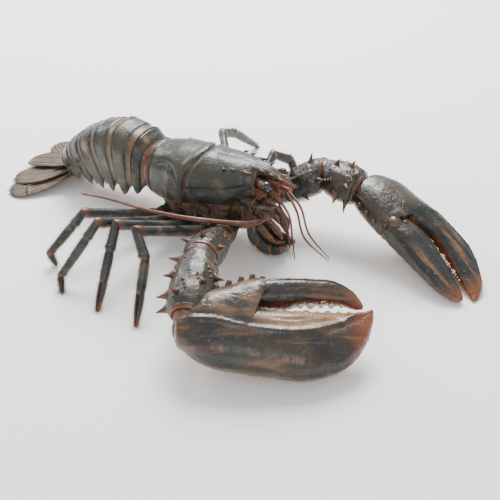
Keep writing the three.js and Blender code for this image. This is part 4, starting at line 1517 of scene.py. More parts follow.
    def pincer(self, wrist: Array, tip: Array, shin: Array, out: Point, hairs: Work) -> None:
        """Makes the small pincer at the end of a front leg.

        Args:
            wrist: where it starts.
            tip: where its fingers end.
            shin: direction of the shin before it.
            out: direction away from the body.
            hairs: the piece that the bristles go to.
        """
        split = wrist + (tip - wrist) * 0.5
        palm = Limb([wrist, split], self.palm, up=out, before=shin)
        work = self.part(f"{self.name}_foot", palm, 36, (FLAT_END, ROUND_END))
        self.tufts(hairs, palm, 0.12, 0.9, 20)
        _, along, side, _ = (part[0] for part in palm.frames([1.0]))
        for hand in (-1, 1):
            start = split + side * hand * 2.6 - along * 3
            middle = split + (tip - split) * 0.5 + side * hand * 2.5
            end = tip + side * hand * 1.1
            finger = Limb([start, middle, end], self.finger, up=out)
            grid = finger.grid(30, 20)
            work.worn(grid, 0.15, 4.0, last=TIP_END, rust=0.8 * ramp(along_skin(grid), 0.6, 1.0))
            self.tufts(hairs, finger, 0.12, 0.96, 26)
        work.finish(LEG, "leg_shell", f"{self.name}_foot")


LEG_SPOTS: dict[tuple[Side, int], Rows] = {
    (Side.RIGHT, 1): ((-74, 46, 36), (-106, 148, 80), (-83, 164, 60), (-67, 209, 0)),
    (Side.RIGHT, 2): ((-104, 46, 32), (-144, 139, 70), (-134, 165, 52), (-121, 211, 0)),
    (Side.RIGHT, 3): ((-132, 44, 29), (-160, 153, 75), (-187, 196, 14), (-176, 208, 0)),
    (Side.RIGHT, 4): ((-160, 42, 27), (-201, 131, 62), (-225, 172, 18), (-219, 169, 0)),
    (Side.LEFT, 1): ((-72, 46, 36), (-82, 115, 59), (-68, 138, 43), (-36, 122, 0)),
    (Side.LEFT, 2): ((-108, 46, 34), (-168, 123, 63), (-168, 154, 48), (-164, 210, 0)),
    (Side.LEFT, 3): ((-134, 44, 29), (-192, 80, 60), (-216, 88, 14), (-220, 84, 0)),
    (Side.LEFT, 4): ((-164, 40, 27), (-232, 60, 52), (-276, 66, 12), (-284, 62, 0)),
}


@dataclass
class Claw:
    """A great claw: palm with its fixed finger, the moving finger, teeth and knobs.

    Its own axes are u along the fingers, v across them and w out of its back. A row of the
    palm, hump or finger is the upper u and v, the lower u and v and half the thickness. The
    claw opens at the upper edge where upward is 1 and at the lower one where it is -1. A row of
    teeth is first and last u, count, v at the start, slope, size and shrink.
    """

    word: str
    origin: Point
    along: Point
    across: Point
    upward: int
    palm: Rows
    finger: Rows
    fixed_teeth: Point
    moving_teeth: Point
    knobs: Rows
    hinge: Rows
    molar: bool
    square: Rows
    shell: Shell
    ridge: Rows = ()
    hump: Rows = ()
    around: int = 150
    palm_rings: int = 250
    hump_rings: int = 120
    finger_rings: int = 170
    finger_around: int = 110

    def axes(self) -> tuple[Array, Array, Array]:
        """The claw's own axes.

        Returns:
            Along the fingers, across towards the upper edge and out of the back.
        """
        along = unit(self.along)
        across = np.asarray(self.across, float)
        across = unit(across - along * (across @ along))
        return along, across, np.cross(along, across)

    def spot(self, u: Array, v: Array, w: Array | float = 0.0) -> Array:
        """A point of the claw from its own axes."""
        places = np.stack(np.broadcast_arrays(np.asarray(u, float), v, w), axis=-1)
        return np.asarray(self.origin) + places @ np.array(self.axes())

    def grid(self, rows: Rows, count: int, around: int) -> tuple[Array, Array, Array, Array]:
        """Rings through rows of upper point, lower point and half thickness.

        Args:
            rows: upper u and v, lower u and v, half thickness.
            count: number of rings.
            around: points round a ring.

        Returns:
            The grid, each point's u and v, and its height share from lower to upper edge.
        """
        table = monotone(range(len(rows)), rows, np.linspace(0, len(rows) - 1, count))
        upper, lower, thick = table[:, :2], table[:, 2:4], table[:, 4]
        reach = (upper[:, :1] + lower[:, :1]) / 2
        power = monotone(*zip(*self.square), reach[:, 0])
        rise, aside = oval(turns(around)[None], power)
        middle, half = (upper + lower) / 2, (upper - lower) / 2
        plane = middle[:, None] + half[:, None] * rise[..., None]
        points = self.spot(plane[..., 0], plane[..., 1], thick[:, None] * aside)
        return points, plane[..., 0], plane[..., 1], rise

    def relief(self, points: Array, u: Array, rise: Array) -> Array:
        """Worn lumps, fine grains and a ridge beside the upper edge.

        Args:
            points: the grid.
            u: place of each point along the fingers.
            rise: its height share, from lower to upper edge.

        Returns:
            How far each point is raised.
        """
        body = 0.8 * lumps(points, 24.0) + 0.3 * lumps(points, 8.0, 4.0)
        grains = np.maximum(0, lumps(points, 3.2, 21.0) - 0.12) * 0.8
        grains = grains * ramp(np.abs(rise), 0.25, 0.8)
        ridge = raised(rise, (0.9, 0.72, 0.07), (-0.7, 0.6, 0.06))
        return body + grains + ridge * ramp(u, 70, 110)

    def crest(self, u: Array, v: Array, facing: Array) -> tuple[Array, Array]:
        """The long crest on the outer face and the painted highlight on the slope over it.

        Args:
            u: place along the fingers.
            v: place across them.
            facing: which points lie on the outer face.

        Returns:
            The crest's height and the share of the pale colour that paints a highlight on the slope
            over it.
        """
        if not self.ridge:
            return 0.0 * u, 0.0 * u
        over = v - monotone(*zip(*self.ridge), u.ravel()).reshape(u.shape)
        height = raised(over, (1.5, 0, 2.6), (-1.1, 6.5, 3.4), (-0.5, -6, 3))
        height = height + 0.5 * np.sin(over * 1.3) * bell(over, 14, 5) * ramp(u, 84, 100)
        front = ramp(u, 66, 100)
        patchy = 0.5 + 0.9 * np.sin(u / 9.0 + v / 5.0) * np.sin(v / 7.0 - u / 16.0)
        # Painted highlight: pale colour on the upper slope over the crest, where the light from above
        # falls; patchy towards the back of the palm.
        painted_highlight = front * 0.72 * ramp(over, -0.5, 5.0)
        painted_highlight = painted_highlight + (1 - front) * 0.3 * ramp(over, -1.0, 16.0) * np.clip(patchy, 0, 1)
        painted_highlight = painted_highlight * ramp(u, 196, 176)
        return height * facing * ramp(u, -8, 6) * ramp(u, 194, 180), painted_highlight * facing

    def row_of_teeth(self, work: Work, edge: Point, inner: int) -> None:
        """Sets rounded or sharp teeth along a finger's edge.

        Args:
            work: the piece they go to.
            edge: the row, as the class describes it.
            inner: which way the finger's body lies.
        """
        first, last, count, start, slope, size, shrink = edge
        along, across, out = self.axes()
        turn = Matrix((along, across, out)).transposed()
        for i in range(int(count)):
            share = i / (count - 1)
            big = size * (1 - shrink * share) * (1 + 0.16 * math.sin(i * 2.7))
            u = first + (last - first) * share
            v = start + slope * (u - first) - inner * big * 0.35
            way = across * inner
            if self.molar:
                work.ball(self.spot(u, v), (big * 1.02, big, big * 1.12), turn, segments=18)
                for gap, low, aside, part in ((0.9, 0.25, 1.6 * (-1) ** i, 0.62),
                                              (0.1, 0.9, 8.5, 0.6), (0.95, 1.1, 10.0, 0.5)):
                    near = self.spot(u + big * gap, v - inner * big * low, aside * (1 - share / 2))
                    work.ball(near, (big * part,) * 3, turn, segments=12)
            else:
                work.thorn(self.spot(u, v - inner * 0.6), way, big * 1.35, big * 0.95, 0.3, 0.2)
                for step in (0.33, 0.66):
                    gap = (last - first) / (count - 1)
                    near = self.spot(u + gap * step, v + slope * gap * step - inner * 0.4)
                    work.thorn(near, way, big * 0.75, big * 0.5, 0.35, 0.1)

    def build(self) -> None:
        """Makes the palm, the moving finger and the teeth."""
        self.build_palm()
        work = Work(f"{self.word}_finger")
        points, u, _, rise = self.grid(self.finger, self.finger_rings, self.finger_around)
        rust = 0.8 * ramp(u, u.max() - 26, u.max()) + 0.5 * ramp(-rise * self.upward, 0.8, 0.97)
        rust = rust + 0.3 * ramp(u, u.min() + 12, u.min() + 4)
        work.skin(*whole(points, self.relief(points, u, rise), ROUND_END, TIP_END,
                         0.6 * underside(points), np.clip(rust, 0, 0.92)))
        work.finish(self.shell, "claw_shell", f"{self.word}_finger")
        teeth = Work(f"{self.word}_teeth")
        self.row_of_teeth(teeth, self.fixed_teeth, self.upward)
        self.row_of_teeth(teeth, self.moving_teeth, -self.upward)
        teeth.finish(TOOTH, "claw_shell")

    def build_palm(self) -> None:
        """Makes the palm with its fixed finger, hump, knobs and hinges."""
        along, across, out = self.axes()
        work = Work(f"{self.word}_palm")
        for rows, count in ((self.palm, self.palm_rings), (self.hump, self.hump_rings)):
            if not rows:
                continue
            points, u, v, rise = self.grid(rows, count, self.around)
            mouth = ramp(rise * self.upward, 0.8, 0.97) * ramp(u, 88, 108)
            rust = 0.8 * ramp(u, 160, 190) + 0.5 * mouth + 0.12 * ramp(u, 4, -8)
            facing = ramp((points - self.spot(u, v)) @ out, 1.0, 6.0)
            crest, painted_highlight = self.crest(u, v, facing)
            # Pale: the real pale underside, and the painted highlight over the crest.
            pale = np.maximum(0.9 * underside(points) * ramp(points[..., 2], 60, 20), painted_highlight)
            end = TIP_END if rows is self.palm else ROUND_END
            work.skin(*whole(points, self.relief(points, u, rise) + crest, ROUND_END, end, pale,
                             np.clip(rust, 0, 0.85)))
        upper = across * self.upward
        for at, edge, length, radius in self.knobs:
            work.thorn(self.spot(at, edge - self.upward * 0.8, 2.0),
                       upper + along * 0.25 + out * 0.3, length * 1.3, radius * 1.15, 0.8, 0.35)
            for aside in (-1, 1):
                root = self.spot(at + 6, edge - self.upward * 3.4, aside * 9)
                work.thorn(root, upper + out * aside * 0.8, 3.2, 2.6, 0.8, 0.4)
        for u_hinge, v_hinge, w_hinge, size in self.hinge:
            work.ball(self.spot(u_hinge, v_hinge, w_hinge), (size, size, size * 0.75),
                      Matrix((along, across, out)).transposed(), rust=0.1, segments=24)
        work.finish(self.shell, "claw_shell", f"{self.word}_palm")


CRUSHER = Claw(
    word="crusher", origin=(12, -219, 51.6), along=(153, 112, -12), across=(-28, 50, 35), upward=1,
    palm=(
        (-13, -4, -13, -18, 8), (-11, 2, -11, -25, 14), (-2, 8, -2, -33, 20),
        (14, 14, 14, -44, 24.6), (30, 17, 30, -50, 26.6), (52, 17, 52, -54, 27.8),
        (68, 14, 70, -56.5, 28), (84, 10.5, 84, -58.5, 27.8), (102, 9.5, 104, -62, 27),
        (118, 8.8, 120, -64, 26), (136, 8, 138, -61.8, 23.8), (157, 8, 160, -54, 19),
        (177, 9, 180, -38, 14), (190, 11, 191, -20, 9), (196, 13, 197, -3, 4.4),
        (198, 12, 198.5, 4, 2.0),
    ),
    hump=(
        (-13, -2, -13, -17, 9), (-11, 4, -11, -24.5, 16), (-2, 13, -2, -32, 22),
        (14, 27, 14, -42, 26), (30, 34, 30, -47, 28), (50, 40, 46, -49, 28.8),
        (66, 44.5, 54, -46, 28.6), (77, 46.5, 58, -38, 27.6), (84, 44, 60, -26, 25.4),
        (86, 37.5, 61, -14, 21.5), (82, 29, 62, -4, 15), (76, 21, 64, 4, 8),
    ),
    finger=(
        (66, 30, 66, 22, 12), (76, 40, 72, 15, 16), (90, 45.5, 90, 14, 17.6), (104, 47, 104, 14.5, 18),
        (122, 46, 122, 18, 17), (146, 46, 146, 19, 15), (164, 41, 164, 18, 12),
        (177, 33, 177, 14, 8), (184, 24, 184, 13, 4.4), (187.5, 17, 187, 13, 2.0),
    ),
    fixed_teeth=(92, 184, 9, 9, 0, 5.2, 0.45), moving_teeth=(98, 176, 8, 16.5, 0, 4.6, 0.45),
    knobs=((30, 30, 8, 5), (43, 34, 9, 5), (56, 38, 9, 5), (68, 41, 9, 5), (79, 40, 8, 5)),
    hinge=((79, 30, 21, 5.0), (79, 30, -21, 5.0)), molar=True,
    square=((-12, 2.2), (60, 2.5), (82, 2.6), (110, 2.6), (150, 2.4), (190, 2.2)),
    shell=CRUSHER_SHELL,
    ridge=((-12, -2), (13, -4.6), (28, -6.5), (53, -13), (79, -17), (104, -18.6), (131, -15.5),
           (159, -6.4), (182, 4.3), (198, 8)),
)
PINCER = Claw(
    word="pincer", origin=(66, 82, 68), along=(169, -50, -65.5), across=(0.25, 1, 0), upward=-1,
    palm=(
        (-10, 24, -10, -4, 8), (-8, 30, -8, -12, 14), (4, 42, 4, -20, 19), (20, 49, 20, -23, 22),
        (44, 52, 42, -25, 23), (60, 54, 52, -24.5, 22.6), (66, 54, 58, -22, 22.2),
        (70, 54, 61, -10, 21.6), (74, 54.4, 64, 4, 20.8), (80, 55, 70, 15, 20),
        (88, 55, 86, 19.5, 19), (105, 55, 105, 22, 17), (130, 55, 130, 17, 14),
        (150, 50, 150, 12, 11), (168, 40, 168, 7, 8), (182, 28, 182, 3, 5),
        (189, 14, 189, 0.5, 2.8), (191, 8, 191, 2, 1.4),
    ),
    finger=(
        (50, -2, 50, -12, 9), (58, 10, 56, -20, 14), (72, 14.6, 70, -23.4, 16.4),
        (86, 15, 84, -24, 17), (104, 16, 104, -25, 15), (130, 10, 130, -27, 12.5),
        (150, 4, 150, -27, 10), (166, -1, 166, -24, 7), (177, -6, 177, -19, 4.5),
        (182, -10, 182, -15, 2.4),
    ),
    fixed_teeth=(90, 172, 8, 21, -0.17, 2.9, 0.35), moving_teeth=(90, 166, 8, 15.5, -0.22, 2.7, 0.35),
    knobs=((14, -18, 7, 4), (28, -20, 7, 4), (42, -21, 7, 4), (54, -20, 6, 4)),
    hinge=((62, -12, 14, 8.5), (60, -10, -16, 6.0), (70, -2, 15, 4.5)), molar=False,
    square=((-10, 2.2), (50, 2.3), (66, 3.0), (90, 2.8), (130, 2.4), (190, 2.2)),
    shell=PINCER_SHELL,
)


@dataclass
class Arm:
    """The three parts that carry a great claw.

    Its spots are its root, elbow, knee and wrist. A spine is its share of the part's length,
    angle round it, length, lean and, where it isn't the usual one, radius.
    """

    word: str
    spots: Rows
    spines: dict[str, Rows]
    ischium: Rows = (
        (0, 10, 11), (0.2, 10.4, 11.4), (0.4, 11, 12), (0.8, 13.4, 14.4), (0.93, 13.8, 14.6),
        (1, 12.4, 12.6),
    )
    merus: Rows = (
        (0, 12.2, 12.2, 12.2), (0.06, 13.6, 13.6, 14), (0.18, 15, 15, 17), (0.5, 19, 19, 22),
        (0.76, 22, 21, 22), (0.93, 22, 21, 21), (1, 19.5, 18.5, 18.5),
    )
    carpus: Rows = (
        (0, 17.5, 17.5, 17.5), (0.08, 19.5, 19, 19), (0.3, 24, 23, 22), (0.6, 26, 24.4, 24),
        (0.85, 25, 23, 22.6), (0.95, 21, 20, 20), (1, 17, 17, 17),
    )
    around: int = 96
    spine_radius: float = 3.0
    crests: Point = (65, 125)
    joint_skin: Point = (11.5, 17.0, 14.5)

    def relief(self, part: str, points: Array, share: Array) -> Array:
        """Lumps, grains, two crests and the grooves at the ends of one part.

        Args:
            part: the part's name.
            points: its grid.
            share: share along it of each point.

        Returns:
            How far each point is raised.
        """
        worn = 0.9 * lumps(points, 14.0, len(part)) + 0.35 * lumps(points, 5.5, 7.0)
        grains = np.maximum(0, lumps(points, 3.0, 12.0) - 0.2) * 0.9
        turn = np.broadcast_to(turns(self.around), share.shape)
        crest = sum(bell(turn, math.radians(degrees), 0.12) for degrees in self.crests)
        crest = crest * ramp(share, 0.15, 0.5) * ramp(share, 1.0, 0.85)
        return worn + grains + crest + raised(share, (-1.3, 0.94, 0.018), (-0.8, 0.07, 0.02))

    def build(self, skin: Work) -> None:
        """Makes the arm's parts and its joint skin.

        Args:
            skin: the piece that the joints' skin goes to.
        """
        root, elbow, knee, wrist = (np.array(p, float) for p in self.spots)
        first, second, third = unit(elbow - root), unit(knee - elbow), unit(wrist - knee)
        limbs = {
            "ischium": Limb([root, elbow], self.ischium, after=second),
            "merus": Limb([elbow, knee], self.merus, before=first, after=third),
            "carpus": Limb([knee, wrist], self.carpus, before=second),
        }
        for part, limb in limbs.items():
            work = Work(f"{self.word}_{part}")
            rings, grains = (60, 4) if part == "ischium" else (120, 16)
            points = limb.grid(rings, self.around)
            share = along_skin(points)
            rust = 0.55 * ramp(share, 0.95, 1.0) + 0.3 * ramp(share, 0.06, 0.0)
            work.skin(*whole(points, self.relief(part, points, share), FLAT_END, CUP_END,
                             0.8 * underside(points), rust))
            for at, degrees, length, lean, *radius in self.spines.get(part, ()):
                radius = radius[0] if radius else self.spine_radius
                work.thorn(*limb.spot(at, degrees, lean), length * 1.35, radius * 1.1, 0.1, 0.85)
            for i in range(grains):
                place = limb.spot(0.2 + 0.7 * ((i * 0.618) % 1), 25 + (i * 83) % 140, 0.5)
                work.thorn(*place, 2.2 + (i % 3) * 0.5, 1.7, 0.4, 0.6)
            work.finish(ARM, "claw_shell", f"{self.word}_{part}")
        for spot, radius in zip((elbow, knee, wrist), self.joint_skin):
            skin.ball(spot, (radius,) * 3)


ARMS = (
    Arm("crusher", ((-56, -17, 42), (-46, -62, 46), (-22, -142, 74), (13, -220, 58)), {
        "merus": ((0.85, 150, 9, 0.8), (0.9, 95, 9, 0.8), (0.9, 30, 9, 0.8)),
        "carpus": ((0.42, 20, 9, 0.5, 4), (0.78, 15, 10, 0.5, 4), (0.62, 60, 7, 0.5),
                   (0.8, 120, 8, 0.6), (0.45, 155, 9, 0.6, 4), (0.75, 165, 9, 0.6, 4),
                   (0.12, 172, 11, 0, 4.2), (0.66, 186, 9, 0.3, 4), (0.86, 192, 9, 0.4, 4)),
    }),
    Arm("pincer", ((-56, 17, 42), (-44, 44, 46), (10, 86, 74), (64, 82, 69)), {
        "merus": ((0.5, 100, 9, 0.2), (0.85, 80, 10, 0.6), (0.88, 160, 9, 0.7), (0.55, 200, 9, 0.4)),
        "carpus": ((0.3, 95, 7, 0.3), (0.62, 80, 7, 0.3), (0.6, 190, 12, 0.4, 4.5),
                   (0.85, 205, 13, 0.4), (0.85, 110, 8, 0.6), (0.8, 150, 9, 0.6)),
    }),
)


@dataclass
class Head:
    """Eyes, feelers and mouth limbs."""

    eye_spot: Point = (-12.6, 18.6, 101.4)
    eye_size: Point = (6.5, 6.6, 6.8)
    stalk: Rows = ((-34, 11, 101), (-24, 14.2, 101), (-14, 17.5, 101))
    stalk_rows: Rows = (
        (0, 5.4, 5.4), (0.35, 4.8, 4.8), (0.42, 4.2, 4.2), (0.5, 4.8, 4.8), (0.75, 5.4, 5.4),
        (0.92, 6.1, 6.1), (1, 5.9, 5.9),
    )
    scape: Rows = ((-42, 19, 76), (-20, 23, 72), (-6, 26, 66))
    scape_rows: Rows = (
        (0, 8, 8), (0.3, 9, 9), (0.4, 9.2, 9.2), (0.44, 7.6, 7.6), (0.5, 8.0, 8.0), (0.66, 8.0, 8.0),
        (0.7, 6.4, 6.4), (0.75, 6.6, 6.6), (0.94, 5.6, 5.6), (1, 4.2, 4.2),
    )
    scape_spines: Rows = ((0.3, 60), (0.38, 100), (0.36, 20), (0.64, 70))
    scale: Rows = ((-24, 26, 76), (-8, 29, 80), (4, 27, 82))
    scale_rows: Rows = ((0, 4, 3), (0.35, 5, 2.2), (0.75, 3.6, 1.8), (1, 0.8, 0.8))
    lash: dict[Side, Rows] = field(default_factory=lambda: {
        Side.RIGHT: ((-6, -26, 66), (-14, -40, 63), (-67, -78, 70), (-127, -95, 71),
                     (-188, -100, 70), (-222, -108, 70)),
        Side.LEFT: ((-6, 26, 66), (-12, 38, 72), (-40, 50, 80), (-90, 56, 76), (-150, 55, 74),
                    (-222, 52, 76)),
    })
    lash_thick: float = 3.6
    lash_thin: float = 1.2
    small: dict[Side, tuple[Rows, Rows, Rows]] = field(default_factory=lambda: {
        Side.RIGHT: (((-34, -6, 92), (-14, -8, 90), (2, -12, 84)),
                     ((-2, -10, 86), (22, -24, 76), (37, -42, 62), (50, -58, 45)),
                     ((-2, -12, 85), (18, -26, 72), (30, -39, 63), (39, -50, 52))),
        Side.LEFT: (((-34, 6, 92), (-14, 8, 90), (2, 8, 88)),
                    ((-2, 7, 88), (24, -10, 76), (48, -33, 60), (84, -40, 45)),
                    ((-2, 9, 89), (27, -6, 80), (52, -29, 64), (82, -33, 43))),
    })
    stem_rows: Rows = ((0, 4.5, 4.5), (0.3, 4.4, 4.4), (0.36, 3.7, 3.7), (0.45, 4.2, 4.2),
                       (0.66, 3.8, 3.8), (0.7, 3.1, 3.1), (0.8, 3.4, 3.4), (1, 2.8, 2.8))
    thread_rows: Rows = ((0, 1.6, 1.6), (0.3, 1.5, 1.5), (0.65, 1.2, 1.2), (1, 0.6, 0.6))
    mouth: Rows = ((-38, 8, 35), (-30, 12, 18), (-10, 13, 10), (12, 10, 15))
    mouth_joints: Point = (0.4, 0.69, 0.91)
    mouth_rows: Rows = (
        (0, 8, 8), (0.2, 9, 9.6), (0.36, 9, 9.4), (0.4, 7.2, 7.8), (0.45, 8.2, 9), (0.66, 7.2, 8.2),
        (0.69, 5.6, 6.8), (0.74, 6.4, 7.4), (0.88, 5, 5.8), (0.91, 4, 4.6), (1, 2, 2.5),
    )
    palps: tuple[tuple[Rows, float], ...] = (
        (((-34, 7, 44), (-22, 9, 28), (-8, 9, 20), (7, 6.5, 22)), 1.15),
        (((-34, 5, 54), (-16, 8, 44), (-2, 8, 33), (4, 6, 25)), 1.0),
        (((-34, 11, 58), (-14, 13, 52), (0, 11, 42), (4, 9, 32)), 0.9),
        (((-32, 15, 52), (-18, 18, 42), (-8, 17, 32), (-2, 14, 24)), 0.9),
        (((-34, 4, 64), (-16, 5, 60), (-6, 5, 52), (-3, 4, 45)), 1.0),
    )
    palp_rows: Rows = (
        (0, 4, 4.8), (0.28, 4.2, 4.6), (0.33, 3.3, 3.8), (0.4, 3.7, 4.2), (0.62, 3.2, 3.6),
        (0.66, 2.6, 3.0), (0.74, 2.9, 3.2), (1, 1.1, 1.2),
    )

    def rings(self, limb: Limb, count: int, around: int, pitch: float, depth: float) -> Array:
        """A feeler with fine rings cut round it.

        Args:
            limb: its shape.
            count: rings of points along it.
            around: points round each.
            pitch: distance from cut to cut.
            depth: depth of a cut.

        Returns:
            The open grid.
        """
        points = limb.grid(count, around)
        reach = np.linspace(0, Curve(limb.path).length, count)
        wave = np.abs(np.sin(reach / pitch * math.pi)) ** 0.6
        return pushed(points, np.broadcast_to(((wave - 1) * depth)[:, None], points.shape[:2]))

    def build(self) -> None:
        """Makes both sides of the head."""
        hairs = Work("mouth_bristles")
        palps = Work("mouth_palps")
        stalks = Work("eye_stalks")
        for side in Side:
            self.eye(side, stalks)
            self.antenna_base(side)
            self.antenna(side)
            self.antennule(side)
            self.maxilliped(side, hairs, palps)
        stalks.finish(STALK, "feeler")
        palps.finish(PALP, "underside")
        hairs.finish(BRISTLE, "leg_shell")

    def eye(self, side: Side, stalks: Work) -> None:
        """Makes one eye and its stalk.

        Args:
            side: the side of the head.
            stalks: the piece that the stalk goes to.
        """
        work = Work(f"eye_{side.word}")
        work.ball(mirrored([self.eye_spot], side)[0], self.eye_size, segments=48)
        work.finish(EYE, "eye", f"eye_{side.word}")
        limb = Limb(mirrored(self.stalk, side), self.stalk_rows)
        stalks.worn(limb.grid(30, 30), 0.2, 3.0, FLAT_END, pale=0.12)

    def antenna_base(self, side: Side) -> None:
        """Makes the jointed base of a long feeler, with its scale and knuckles.

        Args:
            side: the side of the head.
        """
        start, onward = np.array(self.lash[side][:2], float)
        path = np.array(mirrored(self.scape, side), float)
        out, back = unit(onward - start), unit(path[2] - path[1])
        base = Limb(path, self.scape_rows, after=out)
        work = Work(f"antenna_base_{side.word}")
        points = base.grid(80, 40)
        share = along_skin(points)
        rust = raised(share, (0.7, 0.41, 0.03), (0.7, 0.68, 0.03)) + 0.5 * ramp(share, 0.9, 1)
        work.skin(*whole(points, 0.4 * lumps(points, 5.0), ROUND_END, CUP_END,
                         0.4 * underside(points), rust))
        self.antenna_scale(side, work)
        for at, degrees in self.scape_spines:
            place = base.spot(at, degrees if side is Side.LEFT else 180 - degrees, 1.0)
            work.thorn(*place, 3.6, 1.5)
        work.ball(start - back * 1.5, (5.4, 5.2, 5.2), rust=0.5, segments=24)
        work.ball(start + out * 2.2, (4.6, 4.4, 4.4), rust=0.6, segments=24)
        work.finish(ARM, "claw_shell", f"antenna_base_{side.word}")

    def antenna_scale(self, side: Side, work: Work) -> None:
        """Lays the toothed scale that stands beside a feeler's base.

        Args:
            side: the side of the head.
            work: the piece that it goes to.
        """
        scale = Limb(mirrored(self.scale, side), self.scale_rows)
        points = scale.grid(60, 40)
        across = oval(turns(40))[0] + 0 * points[..., 0]
        rib = 0.7 * bell(across, 0.0, 0.2) - 0.4 * bell(np.abs(across), 0.55, 0.12)
        work.skin(*whole(points, rib + 0.15 * lumps(points, 3.0), ROUND_END, TIP_END, 0.0,
                         0.5 * ramp(np.abs(across), 0.7, 1.0)))
        for i, at in enumerate(np.linspace(0.25, 0.95, 12)):
            work.thorn(*scale.spot(at, 0 if i % 2 else 180, 1.6), 1.6, 0.7)

    def antenna(self, side: Side) -> None:
        """Makes one long feeler.

        Args:
            side: the side of the head.
        """
        radii = np.linspace(self.lash_thick, self.lash_thin, 9)
        rows = [(share, radius, radius) for share, radius in zip(np.linspace(0, 1, 9), radii)]
        lash = Limb(np.array(self.lash[side], float), rows)
        work = Work(f"antenna_{side.word}")
        work.skin(capped(self.rings(lash, 640, 12, 1.5, 0.16), FLAT_END, TIP_END))
        work.finish(FEELER, "feeler", f"antenna_{side.word}")

    def antennule(self, side: Side) -> None:
        """Makes one short forked feeler.

        Args:
            side: the side of the head.
        """
        stem, *threads = self.small[side]
        work = Work(f"antennule_{side.word}")
        limb = Limb(stem, self.stem_rows)
        work.skin(capped(limb.grid(50, 24), ROUND_END, ROUND_END), 0.0, 0.3)
        for thread in threads:
            points = self.rings(Limb(thread, self.thread_rows), 260, 10, 1.1, 0.12)
            work.skin(capped(points, ROUND_END, TIP_END))
        work.finish(FEELER, "feeler", f"antennule_{side.word}")

    def maxilliped(self, side: Side, hairs: Work, palps: Work) -> None:
        """Makes one leg-like mouth limb with its bristles and the palps over it.

        Args:
            side: the side of the head.
            hairs: the piece that the bristles go to.
            palps: the piece that the palps go to.
        """
        limb = Limb(mirrored(self.mouth, side), self.mouth_rows)
        work = Work(f"maxilliped_{side.word}")
        points = limb.grid(90, 36)
        rust = raised(along_skin(points), *((0.8, joint, 0.02) for joint in self.mouth_joints))
        work.skin(*whole(points, 0.35 * lumps(points, 5.0), ROUND_END, TIP_END,
                         0.5 * underside(points), np.clip(rust, 0, 0.9)))
        inward = 180 if side is Side.LEFT else 0
        for i, at in enumerate(np.linspace(0.3, 1.0, 46)):
            for turn in (-50, -26, -4, 18, 42, 70):
                spot, way = limb.spot(min(at, 0.99), inward + turn + 9 * math.sin(i * 1.9), 0.5)
                hairs.bristle(spot, way, 5.6, 0.2)
        for at in np.linspace(0.12, 0.66, 11):
            place = limb.spot(at, 150 if side is Side.LEFT else 30, 0.3)
            work.thorn(*place, 2.2, 1.3, 0.4, 0.5)
        work.finish(LEG, "leg_shell", f"maxilliped_{side.word}")
        for path, girth in self.palps:
            rows = [(share, wide * girth, high * girth) for share, wide, high in self.palp_rows]
            palp = Limb(mirrored(path, side), rows)
            palps.worn(palp.grid(56, 20), 0.2, 3.0, last=TIP_END)
            for i, at in enumerate(np.linspace(0.35, 0.98, 22)):
                for turn in (-34, 0, 30):
                    spot, way = palp.spot(at, inward + turn + 11 * math.sin(i * 2.2), 0.8)
                    hairs.bristle(spot, way, 3.8, 0.16)


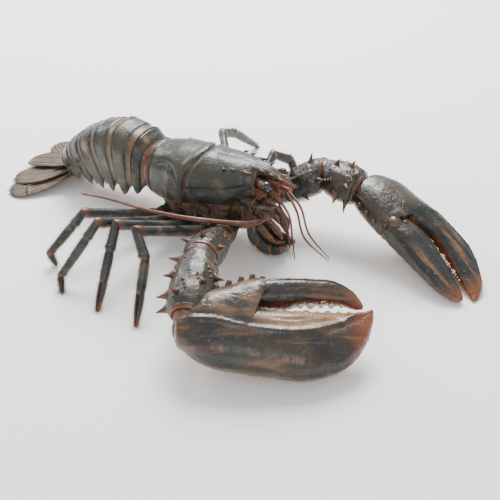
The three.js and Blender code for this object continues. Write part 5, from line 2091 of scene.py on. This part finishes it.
@dataclass
class Studio:
    """Floor, soft lights and the camera at the photograph's place."""

    aim: Point = (0.0, -75.0, 50.0)
    azimuth: float = 32.0
    elevation: float = 36.0
    distance: float = 1050.0
    lens_share: float = 1.8165
    sensor: float = 36.0
    paper: Colour = (0.96, 0.96, 0.955)
    paper_half: float = 6.0
    paper_drop: float = 0.0002
    sky: float = 0.92
    lamps: tuple[tuple[str, Point, float, float], ...] = (
        ("key", (-0.55, 1.05, 1.5), 1.1, 78.0), ("left", (-1.5, 0.2, 0.9), 0.6, 10.0),
        ("front", (0.9, -1.3, 0.9), 0.8, 5.0),
    )
    lamp_aim: Point = (0.0, 0.0, 0.05)

    def build(self) -> None:
        """Sets up the stage."""
        self.floor()
        self.lights()
        self.camera()

    def floor(self) -> None:
        """Lays the plain pale floor."""
        bm = bmesh.new()
        bmesh.ops.create_grid(bm, x_segments=1, y_segments=1, size=self.paper_half)
        mesh = bpy.data.meshes.new("floor")
        bm.to_mesh(mesh)
        bm.free()
        floor = bpy.data.objects.new("floor", mesh)
        floor.location.z = -self.paper_drop
        paper = Sheet("floor_paper").dressed(base_color=(*self.paper, 1), roughness=0.9)
        mesh.materials.append(paper)
        bpy.context.scene.collection.objects.link(floor)

    def lights(self) -> None:
        """Hangs the soft lights and sets the pale surroundings."""
        world = bpy.data.worlds.new("studio")
        world.use_nodes = True
        sky = world.node_tree.nodes["Background"].inputs
        sky["Color"].default_value = (1, 1, 1, 1)
        sky["Strength"].default_value = self.sky
        bpy.context.scene.world = world
        for name, place, size, power in self.lamps:
            lamp = bpy.data.lights.new(name, "AREA")
            lamp.size = size
            lamp.energy = power
            holder = bpy.data.objects.new(name, lamp)
            holder.location = place
            way = Vector(self.lamp_aim) - Vector(place)
            holder.rotation_euler = way.to_track_quat("-Z", "Y").to_euler()
            bpy.context.scene.collection.objects.link(holder)

    def camera(self) -> None:
        """Places the camera from its bearing, height and distance."""
        bearing, height = math.radians(self.azimuth), math.radians(self.elevation)
        target = Vector(self.aim) * MM + Work.origin
        out = Vector((math.cos(height) * math.sin(bearing), -math.cos(height) * math.cos(bearing),
                      math.sin(height)))
        data = bpy.data.cameras.new("camera")
        data.sensor_width = self.sensor
        data.lens = self.sensor * self.lens_share
        data.clip_end = 20.0
        camera = bpy.data.objects.new("camera", data)
        camera.location = target + out * self.distance * MM
        camera.rotation_euler = (-out).to_track_quat("-Z", "Y").to_euler()
        bpy.context.scene.collection.objects.link(camera)
        bpy.context.scene.camera = camera


def body_origin() -> Vector:
    """The floor point that all sizes are measured from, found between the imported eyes.

    Returns:
        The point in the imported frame, in metres.
    """
    right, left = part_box("eye_right"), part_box("eye_left")
    middle = (right[0].y + left[1].y) / 2
    return Vector((right[1].x - EYE_FRONT * MM, middle, 0.0))


def main() -> None:
    """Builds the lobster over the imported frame."""
    logging.basicConfig(level=logging.INFO, format="%(message)s")
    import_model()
    Work.origin = body_origin()
    Carapace().build()
    Underside().build()
    Tail().build()
    Fan().build()
    joints, hairs = Work("joint_skins"), Work("leg_bristles")
    for (side, number), spots in LEG_SPOTS.items():
        WalkingLeg(side, number, spots).build(joints, hairs)
    for arm in ARMS:
        arm.build(joints)
    joints.finish(JOINT, "underside")
    hairs.finish(BRISTLE, "leg_shell")
    for claw in (CRUSHER, PINCER):
        claw.build()
    Head().build()
    Studio().build()


if __name__ == "__main__":
    main()
